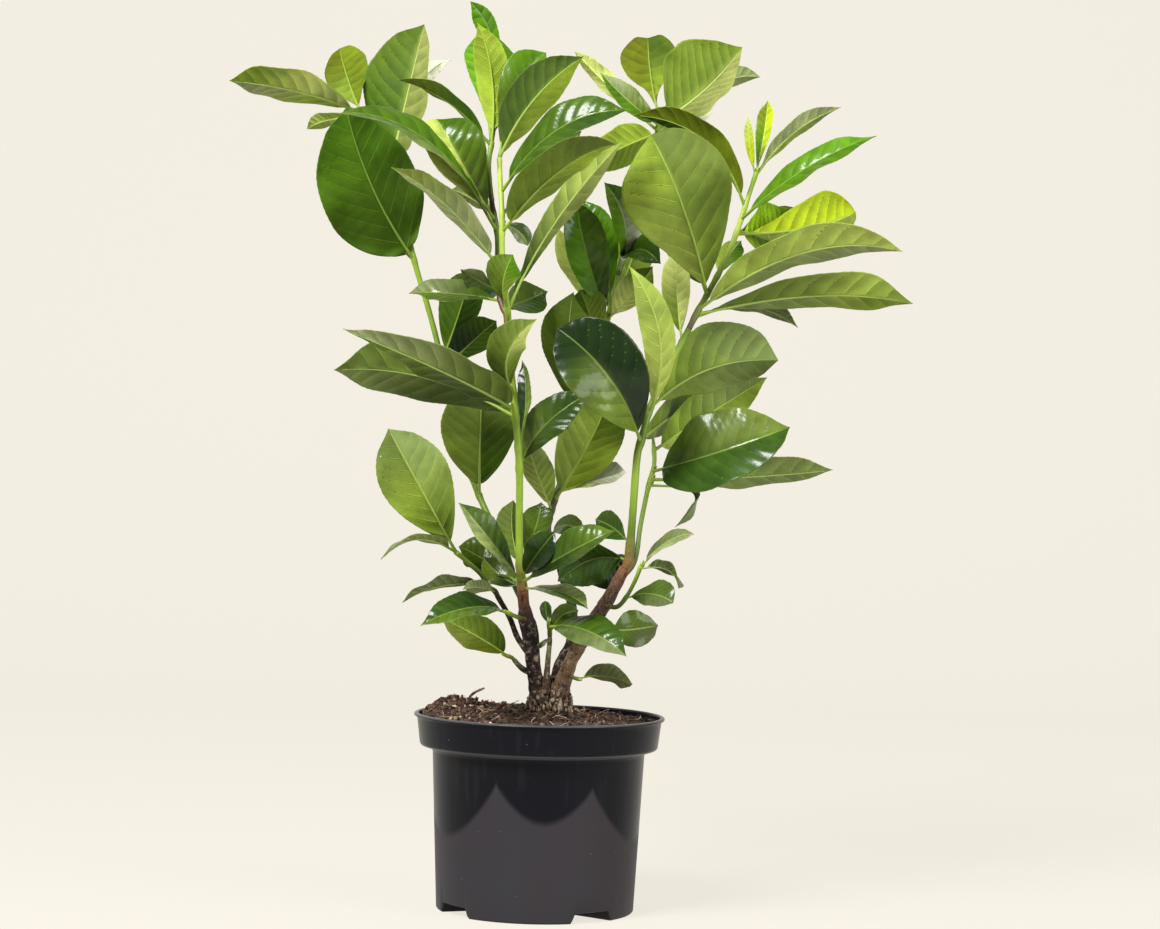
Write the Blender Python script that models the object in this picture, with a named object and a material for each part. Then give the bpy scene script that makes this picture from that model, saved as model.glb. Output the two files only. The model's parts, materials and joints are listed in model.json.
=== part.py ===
"""A cherry laurel in a nursery pot: the moulded pot, its peat, the woody crown and the leafy shoots."""

import math

import bmesh
import bpy
import numpy as np

# Driving dimensions, in millimetres until the meshes are made.
MM = 0.001
GAP = 0.3

# The plant was measured from the front, by an eye at this place. A reading (x, z) is where a point shows
# on the upright plane through the pot's axis, and its depth, positive to the rear, moves it along the sight line.
EYE = np.array([25.4, -2113.0, 334.0])

# The pot: radii and heights of its outer face, from the lip down to the foot.
POT_OUTSIDE = (
    (93.0, 146.0),
    (94.0, 145.2),
    (93.8, 143.9),
    (91.6, 143.0),
    (89.2, 123.4),
    (88.2, 122.0),
    (81.0, 120.6),
    (79.4, 117.6),
    (73.9, 1.2),
    (72.7, 0.0),
)
LIP, BAND_TOP, BAND_FOOT, STEP_FOOT, FOOT = (POT_OUTSIDE[i] for i in (0, 3, 4, 7, 8))
POT_WALL = 1.3
POT_FLOOR = 2.0
INNER_STEP = (120.6, 123.5)
ABOVE_THE_LIP = 160.0
NOTCH_WIDTH = 33.0
NOTCH_HEIGHT = 7.5
NOTCH_INNER_END = 34.0
NOTCH_TURNS = (-54.7, 36.3, 126.3, 216.3)
BELOW_THE_FOOT = -5.0
BEYOND_THE_WALL = 120.0
DRAIN_RADIUS = 5.0
DRAIN_PLACE = 58.0
DRAIN_SPAN = (3.0, 14.0)
DRAIN_SIDES = 12
POT_SIDES = 40

# The peat, level with the rim's foot of the lip and heaped at the left and round the crown.
PEAT_LEVEL = 142.6
PEAT_HEAPS = (
    # x, y, height, spread in x, spread in y
    (8.0, 0.0, 7.5, 34.0, 30.0),
    (-66.0, 14.0, 10.0, 26.0, 34.0),
    (-30.0, 30.0, 5.0, 30.0, 26.0),
    (55.0, 30.0, -2.5, 30.0, 30.0),
    (20.0, -60.0, -2.0, 50.0, 18.0),
)
PEAT_LUMP = 0.9
PEAT_SIDES = 32
PEAT_RINGS = (22.0, 37.0, 54.0, 72.0, 87.8)
CROWN_HOLE_RADIUS = 17.6
CROWN_HOLE_FLOOR = 118.0
ABOVE_ALL_SOIL = 170.0
HOLE_SIDES = 16

# The crown's foot stands in that hole and swells into the wood above it.
CROWN_AXIS = (7.5, 0.0)
CROWN_PROFILE = ((16.0, 118.3), (17.0, 124.0), (17.0, 153.0), (15.5, 160.0), (13.0, 167.0), (8.0, 173.0))
CROWN_SIDES = 14
TRUNK_SIDES = 8
STEM_SIDES = 6

# Wood: each point is a front reading x and z, a depth and a radius.
WOOD = {
    "trunk_left": (
        (0, 158, -2, 7.5),
        (-5, 178, -6, 5.6),
        (-8, 203, -10, 6.2),
        (-12, 218, -13, 5.6),
        (-14, 229, -15, 4.4),
        (-15, 238, -16, 4.1),
    ),
    "trunk_right": (
        (13, 158, -2, 7.5),
        (22, 185, -8, 5.4),
        (30, 200, -11, 5.0),
        (38, 215, -14, 5.6),
        (47, 230, -17, 5.2),
        (55, 245, -19, 4.6),
        (61, 257, -20, 4.0),
    ),
    "trunk_rear": (
        (10, 160, 4, 6.0),
        (15, 184, 12, 4.6),
        (23, 203, 20, 4.2),
        (22, 228, 29, 3.6),
        (13, 255, 35, 3.2),
    ),
    "twig_front": ((4, 162, -6, 3.4), (5, 182, -8, 2.2), (6, 198, -9, 1.9)),
    "twig_left": ((-7, 188, -8, 2.6), (-18, 203, -6, 2.3), (-24, 217, -7, 2.1), (-34, 234, -10, 2.0)),
    "twig_mossy": ((-4, 175, -6, 2.6), (-14, 180, -10, 2.2), (-20, 186, -12, 1.8)),
}
BUD_SWELL = 1.12
END_GAP = 0.6

# A loose twig stands upright in a plain hole in the peat and bends over above it.
LOOSE_TWIG = ((-53, 143.4, 3, 1.2), (-53, 156, 3, 1.1), (-49, 161, 3, 1.0), (-42, 164.5, 3, 0.8))
TWIG_HOLE_RADIUS = 1.8
TWIG_HOLE_FLOOR = 142.5

# Green shoots: the wood or shoot that each grows from, how far its parent's bud reaches along it, and its points.
SHOOTS = {
    "shoot_left": (
        "trunk_left",
        0.0,
        (
            (-15, 238, -16, 3.4),
            (-18, 262, -19, 2.9),
            (-19, 290, -21, 2.7),
            (-20, 330, -24, 2.6),
            (-24, 370, -26, 2.6),
            (-28, 402, -27, 2.6),
            (-32, 438, -28, 3.2),
        ),
    ),
    "shoot_left_dark": (
        "shoot_left",
        0.0,
        (
            (-32, 438, -28, 2.3),
            (-33, 445, -27.6, 2.2),
            (-37, 454, -25, 2.1),
            (-40, 470, -22, 2.0),
            (-41, 503, -22, 2.0),
            (-46, 530, -22, 1.9),
            (-49, 556, -20, 1.9),
            (-47, 574, -18, 1.8),
        ),
    ),
    "shoot_left_bright": (
        "shoot_left",
        10.8,
        (
            (-31, 428, -28, 2.2),
            (-31, 442, -37, 2.1),
            (-34, 462, -40, 2.1),
            (-37, 490, -40, 2.0),
            (-38, 520, -39, 1.9),
            (-40, 545, -34, 1.8),
            (-41, 562, -30, 1.6),
        ),
    ),
    "shoot_far_left": (
        "trunk_left",
        11.0,
        (
            (-13, 228, -15, 2.6),
            (-21, 242, -4, 2.4),
            (-29, 265, 6, 2.4),
            (-38, 285, 12, 2.4),
            (-47, 303, 17, 2.4),
            (-56, 324, 22, 2.4),
            (-67, 356, 30, 2.4),
            (-78, 400, 38, 2.3),
            (-84, 423, 41, 2.2),
            (-92, 450, 43, 2.2),
            (-103, 484, 44, 2.2),
            (-112, 520, 44, 2.0),
            (-122, 556, 42, 1.9),
            (-134, 580, 40, 1.8),
            (-146, 594, 38, 1.6),
        ),
    ),
    "shoot_rear": (
        "trunk_rear",
        0.0,
        (
            (13, 255, 35, 2.8),
            (4, 278, 38, 2.6),
            (3, 290, 38, 2.6),
            (8, 310, 39, 2.5),
            (16, 335, 42, 2.4),
            (27, 380, 47, 2.3),
            (36, 420, 50, 2.3),
            (42, 440, 50, 2.2),
            (46, 455, 50, 2.2),
            (50, 476, 52, 2.1),
        ),
    ),
    "shoot_top": (
        "shoot_rear",
        0.0,
        ((50, 476, 52, 2.0), (60, 515, 56, 1.9), (70, 550, 56, 1.8), (77, 585, 52, 1.7), (79, 594, 50, 1.6)),
    ),
    "shoot_right": (
        "trunk_right",
        0.0,
        (
            (61, 257, -20, 3.3),
            (63.6, 262.2, -20.4, 3.3),
            (65, 280, -21, 3.0),
            (66, 300, -22, 2.8),
            (68, 340, -22, 2.8),
            (71, 354, -21, 2.7),
            (77, 378, -18, 2.5),
            (86, 401, -12, 2.4),
            (96, 421, -6, 2.4),
            (104, 437, 0, 2.4),
        ),
    ),
    "shoot_right_top": (
        "shoot_right",
        0.0,
        (
            (104, 437, 0, 2.2),
            (110, 450, 3, 2.2),
            (118, 465, 6, 2.2),
            (128, 485, 9, 2.1),
            (138, 510, 11, 2.0),
            (144, 530, 12, 1.8),
            (150, 550, 12, 1.7),
            (152, 557, 12, 1.6),
        ),
    ),
    "shoot_right_thin": (
        "trunk_right",
        10.8,
        (
            (56, 247, -19, 2.0),
            (68, 262, -8, 1.9),
            (72, 290, -2, 1.8),
            (77, 318, 4, 1.8),
            (81, 335, 6, 1.7),
            (80, 352, 8, 1.5),
        ),
    ),
    "shoot_low_left": (
        "twig_left",
        0.0,
        (
            (-34, 234, -10, 1.8),
            (-36, 237.4, -10.6, 1.8),
            (-41, 241, -14, 1.8),
            (-47, 250, -18, 1.8),
            (-55, 257, -22, 1.8),
            (-66, 266, -27, 1.7),
        ),
    ),
    "sprout_left": ("twig_mossy", 0.0, ((-20, 186, -12, 1.5), (-22, 188, -12.7, 1.4), (-27, 189.6, -16, 1.3))),
    "sprout_dark_left": ("trunk_left", 7.0, ((-11, 216, -13, 1.7), (-20, 219, -22, 1.6), (-27, 222, -27, 1.4))),
    "sprout_centre": ("twig_front", 0.0, ((6, 198, -9, 1.6), (6.2, 202, -9.3, 1.6), (6, 208, -12, 1.6), (5, 215, -15, 1.4))),
    "sprout_front": ("trunk_right", 7.6, ((19, 177, -6, 1.5), (25, 174, -14, 1.4), (29, 173, -18, 1.3))),
    "sprout_right": (
        "trunk_right",
        6.6,
        ((47, 229, -17, 1.9), (56, 228, -25, 1.7), (63, 236, -29, 1.6), (69, 248, -31, 1.5), (73, 259, -31, 1.4)),
    ),
    "sprout_right_low": ("trunk_right", 6.6, ((38, 214, -14, 1.7), (46, 211, -5, 1.5), (52, 211, -2, 1.4))),
}

# Leaves, shoot by shoot. Each row gives readings of the root (x, z), the middle of the midrib (x, z, depth) and
# the tip (x, z, depth), then the width, three angles in degrees and the place along the blade where it is widest.
# Turn 0 shows the upper side to the front and 180 the underside, and a positive turn leans the upper side to the
# left of the way from root to tip. Fold raises both halves towards the upper side, and twist turns the tip on.
# The rows whose depths run on to the rear are behind other leaves in the photograph, and so are guesses.
LEAVES = {
    "shoot_left": (
        ((-24, 374), (-84, 403, -50), (-155, 431, -46), 44, -128, 12, 0, 0.38),
        ((-23, 368), (-92, 396, -22), (-161, 400, -34), 52, -150, 16, 0, 0.55),
        ((-26, 386), (-31, 414, -44), (-10, 442, -46), 34, 160, 30, 0, 0.5),
        ((-22, 345), (-16, 380, -6), (-20, 411, 2), 14, 40, 20, 0, 0.55),
        ((-20, 330), (-2, 362, -8), (32, 388, -6), 32, 20, 15, 0, 0.55),
        ((-16, 244), (-40, 274, -34), (-65, 303, -36), 26, -40, 22, 0, 0.6),
        ((-16, 242), (-42, 259, -4), (-64, 270, -2), 32, -30, 15, 0, 0.6),
        ((-16, 240), (-32, 249, -10), (-45, 262, -8), 22, -20, 10, 0, 0.55),
        ((-17, 256), (-24, 281, -9), (-24, 306, -5), 24, 170, 15, 0, 0.6),
        ((-17, 258), (-7, 284, 2), (-3, 305, 8), 24, 10, 15, 0, 0.6),
        ((-16, 247), (-5, 266, -32), (8, 283, -36), 24, 10, 25, 0, 0.6),
        ((-16, 244), (20, 268, -44), (53, 285, -48), 32, 45, 20, 0, 0.55),
        ((-15, 241), (12, 238, -30), (34, 226, -38), 20, 55, 15, 0, 0.55),
    ),
    "shoot_left_dark": (
        ((-42, 507), (-97, 574, -48), (-164, 592, -50), 35, -66, 10, 0, 0.6),
        ((-44, 516), (-71, 560, -36), (-89, 590, -30), 48, -20, 20, 0, 0.62),
        ((-41, 482), (-80, 526, -34), (-122, 553, -40), 33, -122, 12, 0, 0.45),
        ((-43, 520), (-60, 531, -10), (-76, 538, -6), 20, -130, 10, 0, 0.55),
        ((-47, 571), (-80, 603, -22), (-119, 619, -24), 30, -108, 12, 0, 0.55),
        ((-47, 572), (-48, 622, -17), (-60, 663, -22), 28, -170, 18, 0, 0.5),
        ((-47, 573), (-46, 640, -8), (-66, 679, -12), 18, 20, 20, 0, 0.75),
        ((-47, 573), (-55, 622, 2), (-62, 652, 14), 23, 165, 15, 0, 0.68),
        ((-47, 572), (-42, 618, 6), (-44, 652, 18), 34, 170, 15, 0, 0.65),
        ((-39, 462), (-47, 467, -10), (-68, 478, -6), 26, 40, 15, 0, 0.6),
        ((-38, 455), (-72, 459, -2), (-106, 459, 0), 30, -50, 15, 0, 0.6),
        ((-36, 449), (-20, 455, 0), (-2, 463, 8), 30, 20, 15, 0, 0.5),
        ((-44, 516), (-60, 556, 20), (-74, 586, 40), 24, -150, 12, 0, 0.5),
    ),
    "shoot_left_bright": (
        ((-37, 507), (3, 553, -54), (46, 575, -56), 45, 128, 12, 0, 0.45),
        ((-39, 536), (2, 584, -48), (53, 600, -52), 38, 50, 12, 0, 0.55),
        ((-37, 512), (-26, 508, -34), (-18, 497, -32), 15, 20, 10, 0, 0.6),
        ((-41, 562), (-17, 606, -30), (20, 640, -30), 39, 155, 20, 0, 0.5),
        ((-41, 562), (-30, 612, -25), (-8, 642, -19), 34, 15, 15, 0, 0.65),
        ((-41, 560), (-32, 583, -20), (-20, 596, -16), 20, 150, 20, 0, 0.55),
        ((-32, 450), (-36, 468, -46), (-29, 490, -46), 30, 170, 25, 0, 0.7),
        ((-31, 447), (0, 512, -18), (51, 577, -8), 25, 140, 15, -30, 0.65),
        ((-38, 520), (-2, 560, 12), (20, 584, 30), 30, 140, 12, 0, 0.5),
    ),
    "shoot_far_left": (
        ((-47, 310), (-50, 356, 2), (-49, 398, 6), 60, 172, 12, 0, 0.5),
        ((-103, 484), (-136, 538, 30), (-157, 597, 20), 83, 168, 14, 0, 0.42),
        ((-142, 590), (-168, 588, 62), (-186, 580, 72), 16, -140, 10, 0, 0.6),
        ((-148, 592), (-193, 608, 20), (-245, 615, 14), 45, -126, 8, 0, 0.6),
        ((-145, 594), (-156, 618, 62), (-163, 641, 82), 39, -168, 12, 0, 0.68),
        ((-122, 556), (-111, 610, 60), (-100, 661, 66), 72, 150, 33, 0, 0.5),
        ((-80, 408), (-68, 446, 34), (-60, 478, 30), 36, 170, 20, 0, 0.55),
        ((-78, 402), (-58, 424, 24), (-40, 440, 18), 30, 160, 12, 0, 0.55),
        ((-103, 484), (-136, 516, 74), (-152, 546, 92), 50, 172, 12, 0, 0.5),
        ((-122, 556), (-106, 612, 86), (-79, 635, 92), 16, 168, 14, 0, 0.6),
        ((-56, 324), (-48, 352, 58), (-50, 386, 76), 38, -170, 12, 0, 0.5),
    ),
    "shoot_low_left": (
        ((-66, 266), (-93, 312, -36), (-119, 357, -32), 53, 180, 8, 0, 0.57),
        ((-43, 242), (-78, 240, -28), (-105, 227, -34), 26, -108, 10, 0, 0.5),
        ((-65, 265), (-95, 275, -40), (-122, 259, -46), 24, -98, 8, 0, 0.5),
        ((-37, 236), (-48, 240, -22), (-60, 238, -26), 14, -140, 10, 0, 0.5),
    ),
    "sprout_left": (
        ((-25, 188), (-46, 202, -24), (-76, 217, -26), 32, -150, 12, 0, 0.5),
    ),
    "sprout_dark_left": (
        ((-25, 221), (-54, 224, -42), (-91, 210, -50), 30, -50, 15, 0, 0.5),
    ),
    "sprout_centre": (
        ((6, 212), (34, 209, -36), (64, 191, -46), 32, 40, 12, 0, 0.5),
        ((6, 207), (15, 220, -16), (27, 224, -16), 16, 20, 15, 0, 0.55),
        ((6, 213), (3, 222, -12), (2, 231, -10), 10, 0, 20, 0, 0.55),
        ((6, 201), (2, 201, -20), (-3, 197, -24), 10, 60, 10, 0, 0.55),
    ),
    "sprout_front": (
        ((28, 173), (48, 176, -24), (69, 170, -30), 26, 128, 10, 0, 0.62),
    ),
    "sprout_right": (
        ((62, 234), (81, 238, -38), (98, 232, -44), 26, 40, 10, 0, 0.6),
        ((72, 257), (93, 257, -38), (102, 243, -44), 26, 110, 8, 0, 0.6),
        ((72, 258), (92, 277, -34), (112, 284, -38), 18, 60, 10, 0, 0.55),
    ),
    "sprout_right_low": (
        ((51, 211), (66, 211, 0), (87, 215, 4), 30, 10, 12, 0, 0.5),
    ),
    "shoot_right": (
        ((69, 352), (46, 399, -38), (5, 436, -36), 62, -12, 16, 0, 0.58),
        ((76, 373), (83, 430, -34), (58, 484, -38), 27, 170, 20, 0, 0.5),
        ((99, 428), (95, 462, 4), (94, 500, 6), 24, 170, 20, 0, 0.6),
        ((77, 377), (120, 408, 4), (172, 416, 10), 66, 150, 30, 0, 0.6),
        ((64, 262), (38, 264, -12), (11, 246, -14), 40, 30, 12, 0, 0.55),
        ((64, 275), (52, 287, -8), (38, 293, -2), 22, 10, 10, 0, 0.6),
        ((63, 270), (50, 256, -2), (36, 244, 6), 26, 10, 10, 0, 0.55),
        ((71, 354), (104, 380, 44), (140, 400, 66), 36, 140, 12, 0, 0.5),
    ),
    "shoot_right_thin": (
        ((80, 331), (130, 346, -14), (182, 366, -16), 66, 30, 12, 0, 0.46),
        ((80, 346), (122, 375, 34), (164, 403, 40), 40, 165, 12, 0, 0.5),
        ((79, 324), (150, 328, 20), (215, 335, 24), 36, 130, 12, 0, 0.6),
        ((78, 320), (112, 314, 10), (98, 289, 2), 15, 110, 10, 0, 0.6),
    ),
    "shoot_right_top": (
        ((117, 464), (98, 528, -26), (72, 582, -22), 84, 180, 10, 0, 0.6),
        ((144, 530), (112, 580, 8), (58, 597, 10), 34, -122, 12, 0, 0.5),
        ((150, 552), (157, 585, 16), (159, 611, 18), 15, 20, 25, 0, 0.6),
        ((151, 554), (146, 580, 8), (145, 598, 6), 8, 0, 20, 0, 0.5),
        ((151, 554), (179, 587, 20), (214, 607, 24), 20, 130, 12, 0, 0.5),
        ((142, 520), (189, 560, -4), (241, 586, -4), 28, 52, 12, 0, 0.5),
        ((139, 512), (160, 514, 30), (176, 530, 36), 40, 160, 12, 0, 0.6),
        ((138, 510), (193, 516, 34), (227, 529, 42), 50, 160, 20, 0, 0.65),
        ((112, 453), (188, 497, -8), (263, 500, -6), 46, 128, 12, 0, 0.5),
        ((110, 449), (198, 465, 14), (272, 461, 12), 44, 132, 14, 0, 0.6),
        ((108, 447), (150, 456, 22), (186, 441, 26), 24, 120, 10, 0, 0.6),
        ((124, 477), (132, 492, 24), (142, 505, 30), 20, 20, 12, 0, 0.55),
        ((117, 464), (98, 520, 34), (92, 556, 52), 46, 176, 12, 0, 0.5),
        ((138, 510), (162, 520, 52), (190, 520, 72), 30, 120, 12, 0, 0.5),
    ),
    "shoot_rear": (
        ((9, 306), (32, 351, 22), (47, 388, 20), 50, 174, 14, 0, 0.48),
        ((5, 300), (-6, 325, 26), (-15, 352, 22), 27, -160, 20, 0, 0.5),
        ((25, 368), (15, 418, 20), (17, 463, 22), 44, 178, 16, 0, 0.6),
        ((36, 420), (30, 445, 40), (22, 465, 36), 34, 170, 10, 0, 0.6),
        ((43, 444), (26, 492, 30), (17, 533, 26), 36, -15, 18, 0, 0.55),
        ((43, 443), (18, 478, 46), (4, 511, 44), 24, -150, 15, 0, 0.55),
        ((45, 452), (38, 498, 40), (23, 532, 42), 28, -20, 15, 0, 0.6),
        ((43, 444), (60, 461, 36), (76, 484, 34), 28, 160, 15, 0, 0.55),
        ((4, 280), (17, 288, 24), (30, 281, 20), 18, 20, 12, 0, 0.55),
        ((16, 335), (27, 372, 72), (38, 396, 98), 44, 172, 12, 0, 0.5),
        ((27, 380), (18, 424, 76), (20, 452, 100), 38, -168, 14, 0, 0.5),
        ((42, 440), (64, 500, 84), (76, 545, 100), 36, 170, 12, 0, 0.5),
        ((10, 312), (34, 322, 34), (60, 329, 30), 26, 52, 10, 0, 0.7),
    ),
    "shoot_top": (
        ((51, 480), (54, 515, 30), (38, 546, 22), 34, -30, 32, 0, 0.55),
        ((52, 486), (66, 496, 30), (82, 486, 24), 26, 40, 25, 0, 0.55),
        ((77, 583), (52, 573, 34), (22, 556, 22), 34, -160, 12, 0, 0.45),
        ((78, 590), (56, 606, 42), (33, 628, 38), 22, -30, 20, 0, 0.5),
        ((77, 586), (42, 616, 62), (13, 644, 60), 19, -150, 20, 0, 0.6),
        ((79, 592), (71, 626, 72), (68, 655, 92), 53, 176, 28, 0, 0.8),
        ((79, 592), (111, 617, 48), (139, 650, 48), 82, 144, 32, 0, 0.5),
        ((79, 592), (120, 622, 76), (153, 628, 82), 20, 140, 12, 0, 0.6),
        ((78, 590), (98, 596, 62), (118, 600, 70), 18, 30, 12, 0, 0.5),
        ((70, 550), (94, 548, 82), (110, 530, 100), 42, 150, 12, 0, 0.5),
        ((77, 583), (98, 602, 84), (112, 622, 108), 34, 165, 14, 0, 0.5),
    ),
}

# How much further to the front and rear the stems and leaves reach than their tables' depths.
STEM_REACH = 1.9
LEAF_REACH = 2.1

# The shape of a leaf: where its blade starts, its fullest place, its points along and its waved edge.
STALK_LENGTH = 9.0
STALK_SHARE = 0.11
STALK_HALF_WIDTH = 1.25
STALK_THICKNESS = 2.3
BLADE_THICKNESS = 0.9
ROUNDNESS = 0.64
TIP_HALF_WIDTH = 0.7
WAVE_SHARE = 0.07
WAVE_TURNS = 2.4
SHORT_LEAF, LONG_LEAF = 45.0, 75.0
STATIONS_SHORT, STATIONS_MEDIUM, STATIONS_LONG = 3, 4, 5

# How far apart the rings of a stem lie.
STEM_SPACING = 19.0

# The plain finishes: a colour and a roughness.
FINISHES = {
    "pot_plastic": ((0.012, 0.013, 0.016), 0.35),
    "peat": ((0.035, 0.022, 0.014), 0.95),
    "bark": ((0.09, 0.055, 0.035), 0.85),
    "leaf": ((0.13, 0.24, 0.03), 0.4),
}


def placed(x, z, depth):
    """The point, in millimetres, that shows at the front reading (x, z) and lies at this depth."""
    reading = np.array([x, 0.0, z])
    return EYE + (reading - EYE) * (depth - EYE[1]) / -EYE[1]


def smooth_line(points, spacing):
    """A Catmull-Rom curve through the rows of points (place and radius), at about this spacing."""
    rows = np.vstack([2 * points[0] - points[1], points, 2 * points[-1] - points[-2]])
    out = [points[0]]
    for i in range(len(points) - 1):
        a, b, c, d = rows[i : i + 4]
        steps = max(1, round(np.linalg.norm(c[:3] - b[:3]) / spacing))
        for step in range(1, steps + 1):
            t = step / steps
            bend = 2 * b + (c - a) * t + (2 * a - 5 * b + 4 * c - d) * t**2 + (3 * b - a - 3 * c + d) * t**3
            out.append(bend / 2)
    return np.array(out)


def stem_rows(points):
    """The placed points of a stem, each with its radius."""
    return np.array([[*placed(x, z, depth * STEM_REACH), radius] for x, z, depth, radius in points])


def all_lines(spacing=STEM_SPACING):
    """Every stem's line by name."""
    lines = {name: smooth_line(stem_rows(points), spacing) for name, points in WOOD.items()}
    lines.update({name: smooth_line(stem_rows(points), spacing) for name, (_, _, points) in SHOOTS.items()})
    lines["loose_twig"] = smooth_line(stem_rows(LOOSE_TWIG), spacing)
    return lines


def nearest_on(line, x, z):
    """The point on a stem's line that shows nearest to the front reading (x, z)."""
    starts, ends = line[:-1, :3], line[1:, :3]
    fine = np.linspace(0, 1, 12)[:, None, None]
    samples = (starts + (ends - starts) * fine).reshape(-1, 3)
    shown = EYE + (samples - EYE) * (-EYE[1] / (samples[:, 1:2] - EYE[1]))
    return samples[np.argmin(np.hypot(shown[:, 0] - x, shown[:, 2] - z))]


def unit(v):
    return v / np.linalg.norm(v, axis=-1, keepdims=True)


class Leaf:
    """A leaf's midrib, a quadratic curve through three points, with the frame of its blade along it."""

    def __init__(self, line, row):
        (root_x, root_z), middle, tip, self.width, turn, fold, twist, fullest = row
        self.root = nearest_on(line, root_x, root_z)
        self.tip = self.reached(*tip)
        self.control = 2 * self.reached(*middle) - (self.root + self.tip) / 2
        self.turn, self.fold, self.twist = np.radians([turn, fold, twist])
        self.bias = math.log(0.5) / math.log(fullest)
        self.length = np.linalg.norm(np.diff(self.at(np.linspace(0, 1, 20)), axis=0), axis=1).sum()
        self.blade_start = min(STALK_LENGTH / self.length, STALK_SHARE)
        chord = unit(self.tip - self.root)
        sight = EYE - self.at(0.5)
        facing = unit(sight - chord * (sight @ chord))
        self.up = math.cos(self.turn) * facing + math.sin(self.turn) * np.cross(facing, chord)

    def reached(self, x, z, depth):
        """The placed point, with its depth counted from the root's and drawn out."""
        return placed(x, z, self.root[1] + LEAF_REACH * (depth - self.root[1] / STEM_REACH))

    def at(self, t):
        t = np.asarray(t, float)[..., None]
        return (1 - t) ** 2 * self.root + 2 * t * (1 - t) * self.control + t**2 * self.tip

    def frame(self, t):
        """The unit vectors along the midrib, across the blade and out of its upper side, at each t."""
        t = np.asarray(t, float)[..., None]
        along = unit((1 - t) * (self.control - self.root) + t * (self.tip - self.control))
        up = unit(self.up - along * (along @ self.up)[..., None])
        across = np.cross(up, along)
        angle = self.twist * (t - 0.5)
        return along, np.cos(angle) * across + np.sin(angle) * up, np.cos(angle) * up - np.sin(angle) * across

    def half_width(self, u):
        """Half the blade's width at u, from 0 where the blade starts to 1 at its tip."""
        body = np.sin(np.pi * np.clip(u, 0, 1) ** self.bias) ** ROUNDNESS
        return self.width / 2 * body

    def stations(self):
        """The places t along the midrib: the root, the stalk's end, and on to the tip."""
        count = STATIONS_LONG
        if self.length < LONG_LEAF:
            count = STATIONS_MEDIUM
        if self.length < SHORT_LEAF:
            count = STATIONS_SHORT
        start = self.blade_start
        inner = 0.5 - 0.5 * np.cos(np.pi * np.linspace(0.16, 0.9, count))
        return np.concatenate([[0.0, start], start + (1 - start) * inner, [1.0]])

    def rows(self):
        """The left edge, midrib and right edge at each station, and the blade's thickness there."""
        t = self.stations()
        u = (t - self.blade_start) / (1 - self.blade_start)
        along, across, up = self.frame(t)
        half = np.maximum(self.half_width(u), TIP_HALF_WIDTH)
        half[:2] = STALK_HALF_WIDTH
        thick = np.full(len(t), BLADE_THICKNESS)
        thick[:2] = STALK_THICKNESS
        fold = np.where(u > 0.02, self.fold, 0.0)
        phase = self.width
        wave = WAVE_SHARE * half * np.sin(2 * np.pi * WAVE_TURNS * u + phase) * (u > 0.02)
        middle = self.at(t)
        edges = []
        for side, sway in ((1, 1.0), (-1, -0.8)):
            out = across * (side * half * np.cos(fold))[:, None]
            lift = up * (half * np.sin(fold) + sway * wave)[:, None]
            edges.append(middle + out + lift)
        return np.stack([edges[0], middle, edges[1]], axis=1), up, thick


def leaf_mesh(leaf):
    """Points and triangles of a leaf's closed solid: its two faces, split alike, and the rim between them."""
    rows, up, thick = leaf.rows()
    shift = up[:, None, :] * (thick / 2)[:, None, None]
    points = np.concatenate([(rows + shift).reshape(-1, 3), (rows - shift).reshape(-1, 3)])
    below = len(rows) * 3
    upper = np.arange(below).reshape(-1, 3)
    split = []
    for near, far in zip(upper[:-1], upper[1:]):
        split += [(near[0], near[1], far[1]), (near[0], far[1], far[0])]
        split += [(near[1], near[2], far[1]), (near[2], far[2], far[1])]
    rim = [*upper[:, 0], upper[-1, 1], *upper[::-1, 2], upper[0, 1]]
    faces = [tuple(int(k) for k in three) for three in split]
    faces += [tuple(int(k) + below for k in three[::-1]) for three in split]
    for a, b in zip(rim, rim[1:] + rim[:1]):
        faces += [(int(a), int(b), int(b) + below), (int(a), int(b) + below, int(a) + below)]
    return points, faces


def ring_faces(count, sides):
    """The quads between each of this many rings of points and the next."""
    faces = []
    for i in range(count - 1):
        for j in range(sides):
            k = (j + 1) % sides
            faces.append((i * sides + j, i * sides + k, (i + 1) * sides + k, (i + 1) * sides + j))
    return faces


def tube_mesh(line, sides, start=0.0):
    """Points and faces of a closed tube along a line with radii, starting this far along it."""
    line = trimmed(line, start)
    place, radius = line[:, :3], line[:, 3]
    along = unit(np.gradient(place, axis=0))
    across = unit(np.cross(along[0], [0.31, 0.87, 0.38]))
    rings = []
    for i in range(len(place)):
        across = unit(across - along[i] * (across @ along[i]))
        other = np.cross(along[i], across)
        angle = np.linspace(0, 2 * np.pi, sides, endpoint=False)[:, None]
        rings.append(place[i] + radius[i] * (np.cos(angle) * across + np.sin(angle) * other))
    points = np.concatenate(rings)
    ends = [tuple(range(sides))[::-1], tuple(range(len(points) - sides, len(points)))]
    return points, ring_faces(len(place), sides) + ends


def trimmed(line, start, end=None):
    """The stretch of a line between two distances along it."""
    steps = np.linalg.norm(np.diff(line[:, :3], axis=0), axis=1)
    far = np.concatenate([[0], np.cumsum(steps)])
    end = far[-1] if end is None else end
    keep = far[(far > start + 1.0) & (far < end - 1.0)]
    places = np.concatenate([[start], keep, [end]])
    return np.stack([np.interp(places, far, column) for column in line.T], axis=1)


# Blender objects.
def material(name, colour, roughness):
    made = bpy.data.materials.new(name)
    made.use_nodes = True
    shader = made.node_tree.nodes["Principled BSDF"]
    shader.inputs["Base Color"].default_value = (*colour, 1.0)
    shader.inputs["Roughness"].default_value = roughness
    return made


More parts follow.
